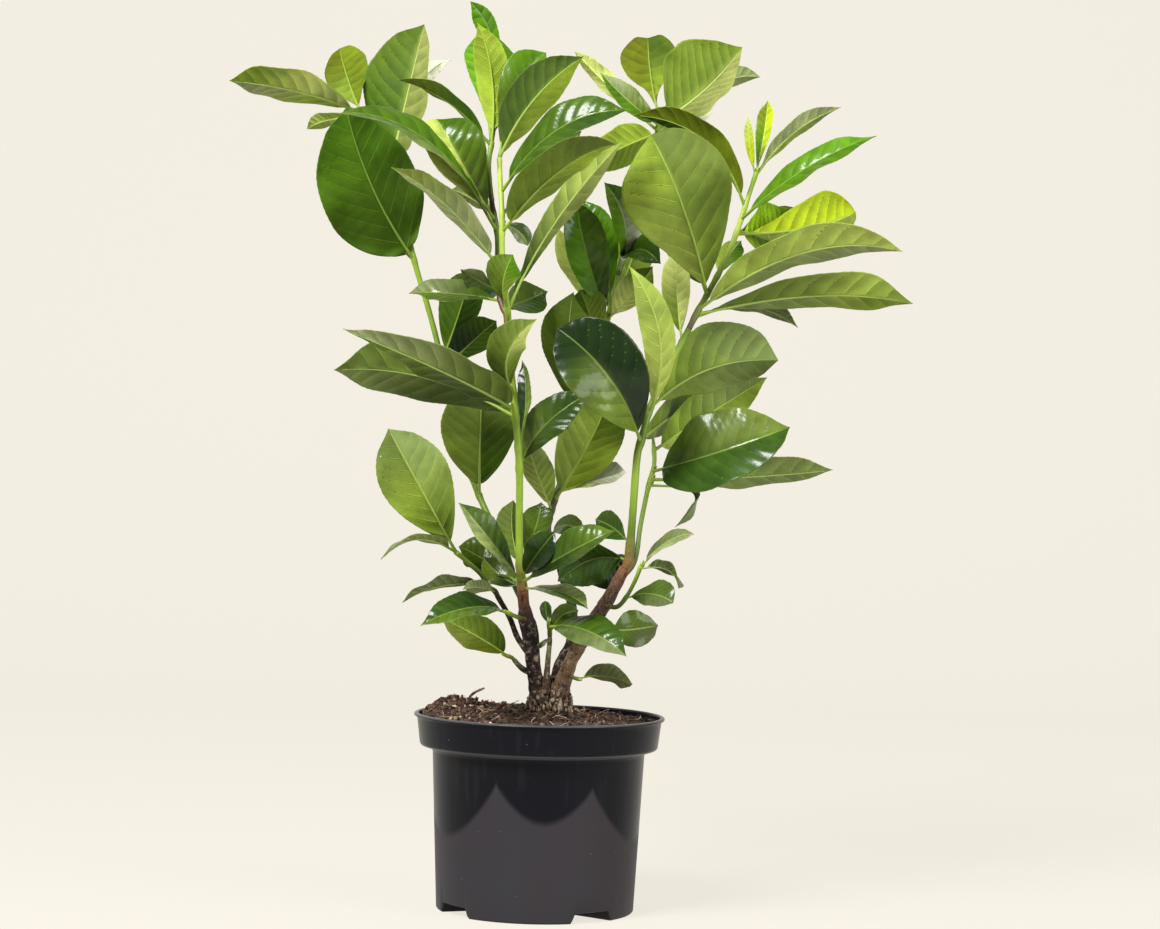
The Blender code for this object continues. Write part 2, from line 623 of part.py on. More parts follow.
def new_object(name, points, faces, finish):
    """A mesh object from points in millimetres."""
    mesh = bpy.data.meshes.new(name)
    mesh.from_pydata([tuple(p) for p in np.asarray(points) * MM], [], faces)
    mesh.validate()
    mesh.materials.append(finish)
    made = bpy.data.objects.new(name, mesh)
    bpy.context.scene.collection.objects.link(made)
    return made


def faced_out(made):
    """Turns all the faces of a closed mesh outwards."""
    work = bmesh.new()
    work.from_mesh(made.data)
    bmesh.ops.recalc_face_normals(work, faces=work.faces)
    work.to_mesh(made.data)
    work.free()
    return made


def applied(made, modifier):
    with bpy.context.temp_override(object=made, active_object=made, selected_objects=[made]):
        bpy.ops.object.modifier_apply(modifier=modifier.name)


def combine(made, others, operation):
    """One applied Boolean of an object with a collection of others, which are then removed."""
    group = bpy.data.collections.new(made.name + "_pieces")
    bpy.context.scene.collection.children.link(group)
    for other in others:
        bpy.context.scene.collection.objects.unlink(other)
        group.objects.link(other)
    modifier = made.modifiers.new(operation.lower(), "BOOLEAN")
    modifier.operation = operation
    modifier.operand_type = "COLLECTION"
    modifier.collection = group
    modifier.solver = "EXACT"
    applied(made, modifier)
    for other in others:
        bpy.data.objects.remove(other)
    bpy.data.collections.remove(group)
    return made


def lathe(name, profile, sides, finish, centre=(0.0, 0.0)):
    """A closed solid turned about an upright axis, from radii and heights that start and end anywhere off it."""
    angle = np.linspace(0, 2 * np.pi, sides, endpoint=False)
    ring = np.stack([np.cos(angle), np.sin(angle)], axis=1)
    points = [[*(centre + r * p), z] for r, z in profile for p in ring]
    ends = [tuple(range(sides)), tuple(range(len(points) - sides, len(points)))]
    return faced_out(new_object(name, points, ring_faces(len(profile), sides) + ends, finish))


def block(name, low, high, turn, finish):
    """A box between two corners, turned about the pot's axis. Turn 0 points to the front."""
    angle = math.radians(turn)
    ahead = np.array([math.sin(angle), -math.cos(angle)])
    beside = np.array([math.cos(angle), math.sin(angle)])
    points = []
    for z in (low[2], high[2]):
        for a, b in ((low[0], low[1]), (high[0], low[1]), (high[0], high[1]), (low[0], high[1])):
            points.append([*(ahead * a + beside * b), z])
    faces = [(0, 1, 2, 3), (4, 5, 6, 7), (0, 1, 5, 4), (1, 2, 6, 5), (2, 3, 7, 6), (3, 0, 4, 7)]
    return faced_out(new_object(name, points, faces, finish))


def channel_blocks(finish, spare, top):
    """The four drain channels' outlines, larger by spare, from below the foot up to top."""
    half = NOTCH_WIDTH / 2 + spare
    low, high = (NOTCH_INNER_END - spare, -half, BELOW_THE_FOOT), (BEYOND_THE_WALL, half, top)
    return [block(f"channel_{i}", low, high, turn, finish) for i, turn in enumerate(NOTCH_TURNS)]


def inner_profile(spare):
    """The pot's hollow, from the floor up, drawn in by spare."""
    draw_in = POT_WALL + spare
    return [
        (FOOT[0] - draw_in, POT_FLOOR + spare),
        (STEP_FOOT[0] - draw_in, INNER_STEP[0] + spare),
        (BAND_FOOT[0] - draw_in, INNER_STEP[1] + spare),
        (BAND_TOP[0] - draw_in, BAND_TOP[1]),
    ]


def make_pot(finish):
    pot = lathe("pot", POT_OUTSIDE, POT_SIDES, finish)
    mouth = (LIP[0] - POT_WALL, ABOVE_THE_LIP)
    hollow = lathe("pot_hollow", [*inner_profile(0.0), mouth], POT_SIDES, finish)
    roof = NOTCH_HEIGHT + POT_WALL
    combine(hollow, channel_blocks(finish, POT_WALL, roof), "DIFFERENCE")
    combine(pot, [hollow], "DIFFERENCE")
    combine(pot, channel_blocks(finish, 0.0, NOTCH_HEIGHT), "DIFFERENCE")
    drains = []
    for i, turn in enumerate(NOTCH_TURNS):
        angle = math.radians(turn)
        centre = DRAIN_PLACE * np.array([math.sin(angle), -math.cos(angle)])
        profile = [(DRAIN_RADIUS, z) for z in DRAIN_SPAN]
        drains.append(lathe(f"drain_{i}", profile, DRAIN_SIDES, finish, centre))
    return combine(pot, drains, "DIFFERENCE")


def peat_height(x, y):
    """The peat's surface: a level, a few broad heaps and small lumps worked out from sines."""
    height = np.full_like(x, PEAT_LEVEL)
    for heap_x, heap_y, tall, wide, deep in PEAT_HEAPS:
        height += tall * np.exp(-(((x - heap_x) / wide) ** 2) - ((y - heap_y) / deep) ** 2)
    lumps = np.sin(0.31 * x + 1.3) * np.sin(0.27 * y + 0.4) + 0.7 * np.sin(0.55 * x - 0.38 * y)
    return height + PEAT_LUMP * lumps


def peat_rings():
    """The peat's rings of points, up its wall and then inwards over its top."""
    angle = np.linspace(0, 2 * np.pi, PEAT_SIDES, endpoint=False)
    circle = np.stack([np.cos(angle), np.sin(angle)], axis=1)
    rings = [np.column_stack([circle * r, np.full(PEAT_SIDES, z)]) for r, z in inner_profile(GAP)[:-1]]
    for radius in PEAT_RINGS[::-1]:
        x, y = (circle * radius + np.array(CROWN_AXIS) * (1 - radius / PEAT_RINGS[-1])).T
        rings.append(np.column_stack([x, y, peat_height(x, y)]))
    return rings


def upright_hole(name, centre, radius, floor, finish):
    return lathe(name, ((radius, floor), (radius, ABOVE_ALL_SOIL)), HOLE_SIDES, finish, centre)


def make_peat(lines, finish):
    rings = peat_rings()
    points = np.concatenate(rings).tolist() + [[*CROWN_AXIS, PEAT_LEVEL]]
    faces = ring_faces(len(rings), PEAT_SIDES) + [tuple(range(PEAT_SIDES))]
    centre = len(points) - 1
    last = centre - PEAT_SIDES
    faces += [(last + j, last + (j + 1) % PEAT_SIDES, centre) for j in range(PEAT_SIDES)]
    peat = faced_out(new_object("peat", points, faces, finish))
    combine(peat, channel_blocks(finish, POT_WALL + GAP, NOTCH_HEIGHT + POT_WALL + GAP), "DIFFERENCE")
    twig_place = lines["loose_twig"][0][:2]
    crown_hole = upright_hole("crown_hole", CROWN_AXIS, CROWN_HOLE_RADIUS, CROWN_HOLE_FLOOR, finish)
    twig_hole = upright_hole("twig_hole", twig_place, TWIG_HOLE_RADIUS, TWIG_HOLE_FLOOR, finish)
    return combine(peat, [crown_hole, twig_hole], "DIFFERENCE")


def buds_on(parent, lines, finish):
    """The short buds on a stem that its side shoots grow from."""
    made = []
    for name, (grown_from, bud, _) in SHOOTS.items():
        if grown_from == parent and bud:
            line = trimmed(lines[name], 0.0, bud)
            line[:, 3] *= BUD_SWELL
            made.append(faced_out(new_object("bud_" + name, *tube_mesh(line, STEM_SIDES), finish)))
    return made


def make_crown(lines, finish):
    crown = lathe("crown", CROWN_PROFILE, CROWN_SIDES, finish, CROWN_AXIS)
    pieces = []
    for name in WOOD:
        sides = TRUNK_SIDES if name.startswith("trunk") else STEM_SIDES
        pieces.append(faced_out(new_object(name, *tube_mesh(lines[name], sides), finish)))
        pieces.extend(buds_on(name, lines, finish))
    return combine(crown, pieces, "UNION")


def make_shoot(name, lines, finish):
    _, bud, _ = SHOOTS[name]
    stem = faced_out(new_object(name, *tube_mesh(lines[name], STEM_SIDES, bud + END_GAP), finish))
    pieces = buds_on(name, lines, finish)
    for number, row in enumerate(LEAVES[name]):
        points, faces = leaf_mesh(Leaf(lines[name], row))
        pieces.append(faced_out(new_object(f"{name}_leaf_{number}", points, faces, finish)))
    return combine(stem, pieces, "UNION")


def main():
    for old in list(bpy.data.objects):
        bpy.data.objects.remove(old)
    lines = all_lines()
    finishes = {name: material(name, *values) for name, values in FINISHES.items()}
    make_pot(finishes["pot_plastic"])
    make_peat(lines, finishes["peat"])
    make_crown(lines, finishes["bark"])
    faced_out(new_object("loose_twig", *tube_mesh(lines["loose_twig"], STEM_SIDES), finishes["bark"]))
    for name in SHOOTS:
        make_shoot(name, lines, finishes["leaf"])


main()
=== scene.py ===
"""A cherry laurel in a nursery pot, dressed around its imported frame."""

import json
import math

import bpy
import numpy as np
from bpy.props import FloatProperty, FloatVectorProperty, IntProperty, PointerProperty
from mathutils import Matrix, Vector

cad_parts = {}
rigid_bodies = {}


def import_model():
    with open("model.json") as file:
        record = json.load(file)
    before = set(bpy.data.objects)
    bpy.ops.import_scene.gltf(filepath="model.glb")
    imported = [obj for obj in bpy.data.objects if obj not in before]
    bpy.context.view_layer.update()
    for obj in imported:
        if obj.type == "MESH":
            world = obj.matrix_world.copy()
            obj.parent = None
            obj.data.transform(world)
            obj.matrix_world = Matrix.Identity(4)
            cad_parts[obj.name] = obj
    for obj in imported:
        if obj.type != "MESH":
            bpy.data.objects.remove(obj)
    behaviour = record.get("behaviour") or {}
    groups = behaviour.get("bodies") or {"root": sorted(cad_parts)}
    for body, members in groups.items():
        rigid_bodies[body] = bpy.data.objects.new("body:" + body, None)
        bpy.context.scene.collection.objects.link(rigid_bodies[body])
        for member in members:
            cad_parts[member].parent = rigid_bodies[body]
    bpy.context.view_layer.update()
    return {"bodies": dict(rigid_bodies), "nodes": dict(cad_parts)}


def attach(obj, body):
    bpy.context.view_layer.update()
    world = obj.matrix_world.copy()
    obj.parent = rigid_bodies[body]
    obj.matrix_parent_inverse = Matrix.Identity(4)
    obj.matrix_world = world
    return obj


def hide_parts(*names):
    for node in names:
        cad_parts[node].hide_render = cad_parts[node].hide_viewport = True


bl_info = {
    "name": "Potted cherry laurel",
    "version": (1, 0, 0),
    "blender": (4, 5, 0),
    "location": "3D View > Sidebar > Laurel",
    "description": "Builds the pot, peat, wood and leafy shoots of a potted cherry laurel",
    "category": "Object",
}

for leftover in list(bpy.data.objects):
    bpy.data.objects.remove(leftover)
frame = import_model()
BODY = next(iter(frame["bodies"]))
MM = 0.001
SEED = 7

# The plant was measured from the front, by an eye at this place. A reading (x, z) is where a point shows on
# the upright plane through the pot's axis, and its depth, positive to the rear, moves it along the sight
# line. Lengths are in millimetres and angles in degrees where nothing else is said.
EYE = np.array([25.4, -2113.0, 334.0])
CAMERA_ROLL = 1.5

# The pot: radii and heights of its outer face, from the lip down to the foot.
POT_OUTSIDE = (
    (93.0, 146.0),
    (94.0, 145.2),
    (93.8, 143.9),
    (91.6, 143.0),
    (89.2, 123.4),
    (88.2, 122.0),
    (81.0, 120.6),
    (79.4, 117.6),
    (73.9, 1.2),
    (72.7, 0.0),
)
LIP, BAND_TOP, BAND_FOOT, STEP_FOOT, FOOT = (POT_OUTSIDE[i] for i in (0, 3, 4, 7, 8))
POT_WALL = 1.3
POT_FLOOR = 2.0
INNER_STEP = (120.6, 123.5)
SHARP_TURN = 38.0
NOTCH_WIDTH = 33.0
NOTCH_HEIGHT = 7.5
NOTCH_INNER_END = 34.0
NOTCH_TURNS = (-54.7, 36.3, 126.3, 216.3)
DRAIN_RADIUS = 5.0
DRAIN_PLACE = 58.0
DRAIN_SPAN = (3.0, 14.0)
DRAIN_SIDES = 32

# The peat, level with the foot of the lip, and heaped at the left and round the crown.
PEAT_LEVEL = 142.6
PEAT_HEAPS = (
    # x, y, height, spread in x, spread in y
    (8.0, 0.0, 7.5, 34.0, 30.0),
    (-66.0, 14.0, 10.0, 26.0, 34.0),
    (-30.0, 30.0, 5.0, 30.0, 26.0),
    (55.0, 30.0, -2.5, 30.0, 30.0),
    (20.0, -60.0, -2.0, 50.0, 18.0),
)
PEAT_LUMP = 0.9

# The crown's foot: its axis, and its radius at each height.
CROWN_AXIS = (7.5, 0.0)
CROWN_PROFILE = ((16.0, 118.3), (17.0, 124.0), (17.0, 153.0), (15.5, 160.0), (13.0, 167.0), (8.0, 173.0))

# Wood: each point is a front reading x and z, a depth and a radius.
WOOD = {
    "trunk_left": (
        (0, 158, -2, 7.5), (-5, 178, -6, 5.6), (-8, 203, -10, 6.2), (-12, 218, -13, 5.6),
        (-14, 229, -15, 4.4), (-15, 238, -16, 4.1),
    ),
    "trunk_right": (
        (13, 158, -2, 7.5), (22, 185, -8, 5.4), (30, 200, -11, 5.0), (38, 215, -14, 5.6),
        (47, 230, -17, 5.2), (55, 245, -19, 4.6), (61, 257, -20, 4.0),
    ),
    "trunk_rear": (
        (10, 160, 4, 6.0), (15, 184, 12, 4.6), (23, 203, 20, 4.2), (22, 228, 29, 3.6),
        (13, 255, 35, 3.2),
    ),
    "twig_front": (
        (4, 162, -6, 3.4), (5, 182, -8, 2.2), (6, 198, -9, 1.9),
    ),
    "twig_left": (
        (-7, 188, -8, 2.6), (-18, 203, -6, 2.3), (-24, 217, -7, 2.1), (-34, 234, -10, 2.0),
    ),
    "twig_mossy": (
        (-4, 175, -6, 2.6), (-14, 180, -10, 2.2), (-20, 186, -12, 1.8),
    ),
}
BUD_SWELL = 1.12

# A loose twig stands upright in the peat and bends over above it.
LOOSE_TWIG = ((-53, 143.4, 3, 1.2), (-53, 156, 3, 1.1), (-49, 161, 3, 1.0), (-42, 164.5, 3, 0.8))
TWIG_STEP, TWIG_SIDES = 1.0, 10

# Green shoots: what each grows from, how far its parent's bud reaches along it, and its points.
SHOOTS = {
    "shoot_left": ("trunk_left", 0.0, (
        (-15, 238, -16, 3.4), (-18, 262, -19, 2.9), (-19, 290, -21, 2.7), (-20, 330, -24, 2.6),
        (-24, 370, -26, 2.6), (-28, 402, -27, 2.6), (-32, 438, -28, 3.2),
    )),
    "shoot_left_dark": ("shoot_left", 0.0, (
        (-32, 438, -28, 2.3), (-33, 445, -27.6, 2.2), (-37, 454, -25, 2.1), (-40, 470, -22, 2.0),
        (-41, 503, -22, 2.0), (-46, 530, -22, 1.9), (-49, 556, -20, 1.9), (-47, 574, -18, 1.8),
    )),
    "shoot_left_bright": ("shoot_left", 10.8, (
        (-31, 428, -28, 2.2), (-31, 442, -37, 2.1), (-34, 462, -40, 2.1), (-37, 490, -40, 2.0),
        (-38, 520, -39, 1.9), (-40, 545, -34, 1.8), (-41, 562, -30, 1.6),
    )),
    "shoot_far_left": ("trunk_left", 11.0, (
        (-13, 228, -15, 2.6), (-21, 242, -4, 2.4), (-29, 265, 6, 2.4), (-38, 285, 12, 2.4),
        (-47, 303, 17, 2.4), (-56, 324, 22, 2.4), (-67, 356, 30, 2.4), (-78, 400, 38, 2.3),
        (-84, 423, 41, 2.2), (-92, 450, 43, 2.2), (-103, 484, 44, 2.2), (-112, 520, 44, 2.0),
        (-122, 556, 42, 1.9), (-134, 580, 40, 1.8), (-146, 594, 38, 1.6),
    )),
    "shoot_rear": ("trunk_rear", 0.0, (
        (13, 255, 35, 2.8), (4, 278, 38, 2.6), (3, 290, 38, 2.6), (8, 310, 39, 2.5), (16, 335, 42, 2.4),
        (27, 380, 47, 2.3), (36, 420, 50, 2.3), (42, 440, 50, 2.2), (46, 455, 50, 2.2),
        (50, 476, 52, 2.1),
    )),
    "shoot_top": ("shoot_rear", 0.0, (
        (50, 476, 52, 2.0), (60, 515, 56, 1.9), (70, 550, 56, 1.8), (77, 585, 52, 1.7),
        (79, 594, 50, 1.6),
    )),
    "shoot_right": ("trunk_right", 0.0, (
        (61, 257, -20, 3.3), (63.6, 262.2, -20.4, 3.3), (65, 280, -21, 3.0), (66, 300, -22, 2.8),
        (68, 340, -22, 2.8), (71, 354, -21, 2.7), (77, 378, -18, 2.5), (86, 401, -12, 2.4),
        (96, 421, -6, 2.4), (104, 437, 0, 2.4),
    )),
    "shoot_right_top": ("shoot_right", 0.0, (
        (104, 437, 0, 2.2), (110, 450, 3, 2.2), (118, 465, 6, 2.2), (128, 485, 9, 2.1),
        (138, 510, 11, 2.0), (144, 530, 12, 1.8), (150, 550, 12, 1.7), (152, 557, 12, 1.6),
    )),
    "shoot_right_thin": ("trunk_right", 10.8, (
        (56, 247, -19, 2.0), (68, 262, -8, 1.9), (72, 290, -2, 1.8), (77, 318, 4, 1.8),
        (81, 335, 6, 1.7), (80, 352, 8, 1.5),
    )),
    "shoot_low_left": ("twig_left", 0.0, (
        (-34, 234, -10, 1.8), (-36, 237.4, -10.6, 1.8), (-41, 241, -14, 1.8), (-47, 250, -18, 1.8),
        (-55, 257, -22, 1.8), (-66, 266, -27, 1.7),
    )),
    "sprout_left": ("twig_mossy", 0.0, (
        (-20, 186, -12, 1.5), (-22, 188, -12.7, 1.4), (-27, 189.6, -16, 1.3),
    )),
    "sprout_dark_left": ("trunk_left", 7.0, (
        (-11, 216, -13, 1.7), (-20, 219, -22, 1.6), (-27, 222, -27, 1.4),
    )),
    "sprout_centre": ("twig_front", 0.0, (
        (6, 198, -9, 1.6), (6.2, 202, -9.3, 1.6), (6, 208, -12, 1.6), (5, 215, -15, 1.4),
    )),
    "sprout_front": ("trunk_right", 7.6, (
        (19, 177, -6, 1.5), (25, 174, -14, 1.4), (29, 173, -18, 1.3),
    )),
    "sprout_right": ("trunk_right", 6.6, (
        (47, 229, -17, 1.9), (56, 228, -25, 1.7), (63, 236, -29, 1.6), (69, 248, -31, 1.5),
        (73, 259, -31, 1.4),
    )),
    "sprout_right_low": ("trunk_right", 6.6, (
        (38, 214, -14, 1.7), (46, 211, -5, 1.5), (52, 211, -2, 1.4),
    )),
}

# Leaves, shoot by shoot. Each row gives readings of the root (x, z), the middle of the midrib (x, z, depth)
# and the tip (x, z, depth), then the width, three angles and the place along the blade where it is widest.
# Turn 0 shows the upper side to the front and 180 the underside, and a positive turn leans the upper side
# to the left of the way from root to tip. Fold raises both halves towards the upper side, and twist turns
# the tip on. The shapes of leaves that others mostly hide are guesses.
LEAVES = {
    "shoot_left": (
        ((-24, 374), (-84, 403, -50), (-155, 431, -46), 44, -128, 12, 0, 0.38),
        ((-23, 368), (-92, 396, -22), (-161, 400, -34), 52, -150, 16, 0, 0.55),
        ((-26, 386), (-31, 414, -44), (-10, 442, -46), 34, 160, 30, 0, 0.5),
        ((-22, 345), (-16, 380, -6), (-20, 411, 2), 14, 40, 20, 0, 0.55),
        ((-20, 330), (-2, 362, -8), (32, 388, -6), 32, 20, 15, 0, 0.55),
        ((-16, 244), (-40, 274, -34), (-65, 303, -36), 26, -40, 22, 0, 0.6),
        ((-16, 242), (-42, 259, -4), (-64, 270, -2), 32, -30, 15, 0, 0.6),
        ((-16, 240), (-32, 249, -10), (-45, 262, -8), 22, -20, 10, 0, 0.55),
        ((-17, 256), (-24, 281, -9), (-24, 306, -5), 24, 170, 15, 0, 0.6),
        ((-17, 258), (-7, 284, 2), (-3, 305, 8), 24, 10, 15, 0, 0.6),
        ((-16, 247), (-5, 266, -32), (8, 283, -36), 24, 10, 25, 0, 0.6),
        ((-16, 244), (20, 268, -44), (53, 285, -48), 32, 45, 20, 0, 0.55),
        ((-15, 241), (12, 238, -30), (34, 226, -38), 20, 55, 15, 0, 0.55),
    ),
    "shoot_left_dark": (
        ((-42, 507), (-97, 574, -48), (-164, 592, -50), 35, -66, 10, 0, 0.6),
        ((-44, 516), (-71, 560, -36), (-89, 590, -30), 48, -20, 20, 0, 0.62),
        ((-41, 482), (-80, 526, -34), (-122, 553, -40), 33, -122, 12, 0, 0.45),
        ((-43, 520), (-60, 531, -10), (-76, 538, -6), 20, -130, 10, 0, 0.55),
        ((-47, 571), (-80, 603, -22), (-119, 619, -24), 30, -108, 12, 0, 0.55),
        ((-47, 572), (-48, 622, -17), (-60, 663, -22), 28, -170, 18, 0, 0.5),
        ((-47, 573), (-46, 640, -8), (-66, 679, -12), 18, 20, 20, 0, 0.75),
        ((-47, 573), (-55, 622, 2), (-62, 652, 14), 23, 165, 15, 0, 0.68),
        ((-47, 572), (-42, 618, 6), (-44, 652, 18), 34, 170, 15, 0, 0.65),
        ((-39, 462), (-47, 467, -10), (-68, 478, -6), 26, 40, 15, 0, 0.6),
        ((-38, 455), (-72, 459, -2), (-106, 459, 0), 30, -50, 15, 0, 0.6),
        ((-36, 449), (-20, 455, 0), (-2, 463, 8), 30, 20, 15, 0, 0.5),
        ((-44, 516), (-60, 556, 20), (-74, 586, 40), 24, -150, 12, 0, 0.5),
    ),
    "shoot_left_bright": (
        ((-37, 507), (3, 553, -54), (46, 575, -56), 45, 128, 12, 0, 0.45),
        ((-39, 536), (2, 584, -48), (53, 600, -52), 38, 50, 12, 0, 0.55),
        ((-37, 512), (-26, 508, -34), (-18, 497, -32), 15, 20, 10, 0, 0.6),
        ((-41, 562), (-17, 606, -30), (20, 640, -30), 39, 155, 20, 0, 0.5),
        ((-41, 562), (-30, 612, -25), (-8, 642, -19), 34, 15, 15, 0, 0.65),
        ((-41, 560), (-32, 583, -20), (-20, 596, -16), 20, 150, 20, 0, 0.55),
        ((-32, 450), (-36, 468, -46), (-29, 490, -46), 30, 170, 25, 0, 0.7),
        ((-31, 447), (0, 512, -18), (51, 577, -8), 25, 140, 15, -30, 0.65),
        ((-38, 520), (-2, 560, 12), (20, 584, 30), 30, 140, 12, 0, 0.5),
    ),
    "shoot_far_left": (
        ((-47, 310), (-50, 356, 2), (-49, 398, 6), 60, 172, 12, 0, 0.5),
        ((-103, 484), (-136, 538, 30), (-157, 597, 20), 83, 168, 14, 0, 0.42),
        ((-142, 590), (-168, 588, 62), (-186, 580, 72), 16, -140, 10, 0, 0.6),
        ((-148, 592), (-193, 608, 20), (-245, 615, 14), 45, -126, 8, 0, 0.6),
        ((-145, 594), (-156, 618, 62), (-163, 641, 82), 39, -168, 12, 0, 0.68),
        ((-122, 556), (-111, 610, 60), (-100, 661, 66), 72, 150, 33, 0, 0.5),
        ((-80, 408), (-68, 446, 34), (-60, 478, 30), 36, 170, 20, 0, 0.55),
        ((-78, 402), (-58, 424, 24), (-40, 440, 18), 30, 160, 12, 0, 0.55),
        ((-103, 484), (-136, 516, 74), (-152, 546, 92), 50, 172, 12, 0, 0.5),
        ((-122, 556), (-106, 612, 86), (-79, 635, 92), 16, 168, 14, 0, 0.6),
        ((-56, 324), (-48, 352, 58), (-50, 386, 76), 38, -170, 12, 0, 0.5),
    ),
    "shoot_low_left": (
        ((-66, 266), (-93, 312, -36), (-119, 357, -32), 53, 180, 8, 0, 0.57),
        ((-43, 242), (-78, 240, -28), (-105, 227, -34), 26, -108, 10, 0, 0.5),
        ((-65, 265), (-95, 275, -40), (-122, 259, -46), 24, -98, 8, 0, 0.5),
        ((-37, 236), (-48, 240, -22), (-60, 238, -26), 14, -140, 10, 0, 0.5),
    ),
    "sprout_left": (
        ((-25, 188), (-46, 202, -24), (-76, 217, -26), 32, -150, 12, 0, 0.5),
    ),
    "sprout_dark_left": (
        ((-25, 221), (-54, 224, -42), (-91, 210, -50), 30, -50, 15, 0, 0.5),
    ),
    "sprout_centre": (
        ((6, 212), (34, 209, -36), (64, 191, -46), 32, 40, 12, 0, 0.5),
        ((6, 207), (15, 220, -16), (27, 224, -16), 16, 20, 15, 0, 0.55),
        ((6, 213), (3, 222, -12), (2, 231, -10), 10, 0, 20, 0, 0.55),
        ((6, 201), (2, 201, -20), (-3, 197, -24), 10, 60, 10, 0, 0.55),
    ),
    "sprout_front": (
        ((28, 173), (48, 176, -24), (69, 170, -30), 26, 128, 10, 0, 0.62),
    ),
    "sprout_right": (
        ((62, 234), (81, 238, -38), (98, 232, -44), 26, 40, 10, 0, 0.6),
        ((72, 257), (93, 257, -38), (102, 243, -44), 26, 110, 8, 0, 0.6),
        ((72, 258), (92, 277, -34), (112, 284, -38), 18, 60, 10, 0, 0.55),
    ),
    "sprout_right_low": (
        ((51, 211), (66, 211, 0), (87, 215, 4), 30, 10, 12, 0, 0.5),
    ),
    "shoot_right": (
        ((69, 352), (46, 399, -38), (5, 436, -36), 62, -12, 16, 0, 0.58),
        ((76, 373), (83, 430, -34), (58, 484, -38), 27, 170, 20, 0, 0.5),
        ((99, 428), (95, 462, 4), (94, 500, 6), 24, 170, 20, 0, 0.6),
        ((77, 377), (120, 408, 4), (172, 416, 10), 66, 150, 30, 0, 0.6),
        ((64, 262), (38, 264, -12), (11, 246, -14), 40, 30, 12, 0, 0.55),
        ((64, 275), (52, 287, -8), (38, 293, -2), 22, 10, 10, 0, 0.6),
        ((63, 270), (50, 256, -2), (36, 244, 6), 26, 10, 10, 0, 0.55),
        ((71, 354), (104, 380, 44), (140, 400, 66), 36, 140, 12, 0, 0.5),
    ),
    "shoot_right_thin": (
        ((80, 331), (130, 346, -14), (182, 366, -16), 66, 30, 12, 0, 0.46),
        ((80, 346), (122, 375, 34), (164, 403, 40), 40, 165, 12, 0, 0.5),
        ((79, 324), (150, 328, 20), (215, 335, 24), 36, 130, 12, 0, 0.6),
        ((78, 320), (112, 314, 10), (98, 289, 2), 15, 110, 10, 0, 0.6),
    ),
    "shoot_right_top": (
        ((117, 464), (98, 528, -26), (72, 582, -22), 84, 180, 10, 0, 0.6),
        ((144, 530), (112, 580, 8), (58, 597, 10), 34, -122, 12, 0, 0.5),
        ((150, 552), (157, 585, 16), (159, 611, 18), 15, 20, 25, 0, 0.6),
        ((151, 554), (146, 580, 8), (145, 598, 6), 8, 0, 20, 0, 0.5),
        ((151, 554), (179, 587, 20), (214, 607, 24), 20, 130, 12, 0, 0.5),
        ((142, 520), (189, 560, -4), (241, 586, -4), 28, 52, 12, 0, 0.5),
        ((139, 512), (160, 514, 30), (176, 530, 36), 40, 160, 12, 0, 0.6),
        ((138, 510), (193, 516, 34), (227, 529, 42), 50, 160, 20, 0, 0.65),
        ((112, 453), (188, 497, -8), (263, 500, -6), 46, 128, 12, 0, 0.5),
        ((110, 449), (198, 465, 14), (272, 461, 12), 44, 132, 14, 0, 0.6),
        ((108, 447), (150, 456, 22), (186, 441, 26), 24, 120, 10, 0, 0.6),
        ((124, 477), (132, 492, 24), (142, 505, 30), 20, 20, 12, 0, 0.55),
        ((117, 464), (98, 520, 34), (92, 556, 52), 46, 176, 12, 0, 0.5),
        ((138, 510), (162, 520, 52), (190, 520, 72), 30, 120, 12, 0, 0.5),
    ),
    "shoot_rear": (
        ((9, 306), (32, 351, 22), (47, 388, 20), 50, 174, 14, 0, 0.48),
        ((5, 300), (-6, 325, 26), (-15, 352, 22), 27, -160, 20, 0, 0.5),
        ((25, 368), (15, 418, 20), (17, 463, 22), 44, 178, 16, 0, 0.6),
        ((36, 420), (30, 445, 40), (22, 465, 36), 34, 170, 10, 0, 0.6),
        ((43, 444), (26, 492, 30), (17, 533, 26), 36, -15, 18, 0, 0.55),
        ((43, 443), (18, 478, 46), (4, 511, 44), 24, -150, 15, 0, 0.55),
        ((45, 452), (38, 498, 40), (23, 532, 42), 28, -20, 15, 0, 0.6),
        ((43, 444), (60, 461, 36), (76, 484, 34), 28, 160, 15, 0, 0.55),
        ((4, 280), (17, 288, 24), (30, 281, 20), 18, 20, 12, 0, 0.55),
        ((16, 335), (27, 372, 72), (38, 396, 98), 44, 172, 12, 0, 0.5),
        ((27, 380), (18, 424, 76), (20, 452, 100), 38, -168, 14, 0, 0.5),
        ((42, 440), (64, 500, 84), (76, 545, 100), 36, 170, 12, 0, 0.5),
        ((10, 312), (34, 322, 34), (60, 329, 30), 26, 52, 10, 0, 0.7),
    ),
    "shoot_top": (
        ((51, 480), (54, 515, 30), (38, 546, 22), 34, -30, 32, 0, 0.55),
        ((52, 486), (66, 496, 30), (82, 486, 24), 26, 40, 25, 0, 0.55),
        ((77, 583), (52, 573, 34), (22, 556, 22), 34, -160, 12, 0, 0.45),
        ((78, 590), (56, 606, 42), (33, 628, 38), 22, -30, 20, 0, 0.5),
        ((77, 586), (42, 616, 62), (13, 644, 60), 19, -150, 20, 0, 0.6),
        ((79, 592), (71, 626, 72), (68, 655, 92), 53, 176, 28, 0, 0.8),
        ((79, 592), (111, 617, 48), (139, 650, 48), 82, 144, 32, 0, 0.5),
        ((79, 592), (120, 622, 76), (153, 628, 82), 20, 140, 12, 0, 0.6),
        ((78, 590), (98, 596, 62), (118, 600, 70), 18, 30, 12, 0, 0.5),
        ((70, 550), (94, 548, 82), (110, 530, 100), 42, 150, 12, 0, 0.5),
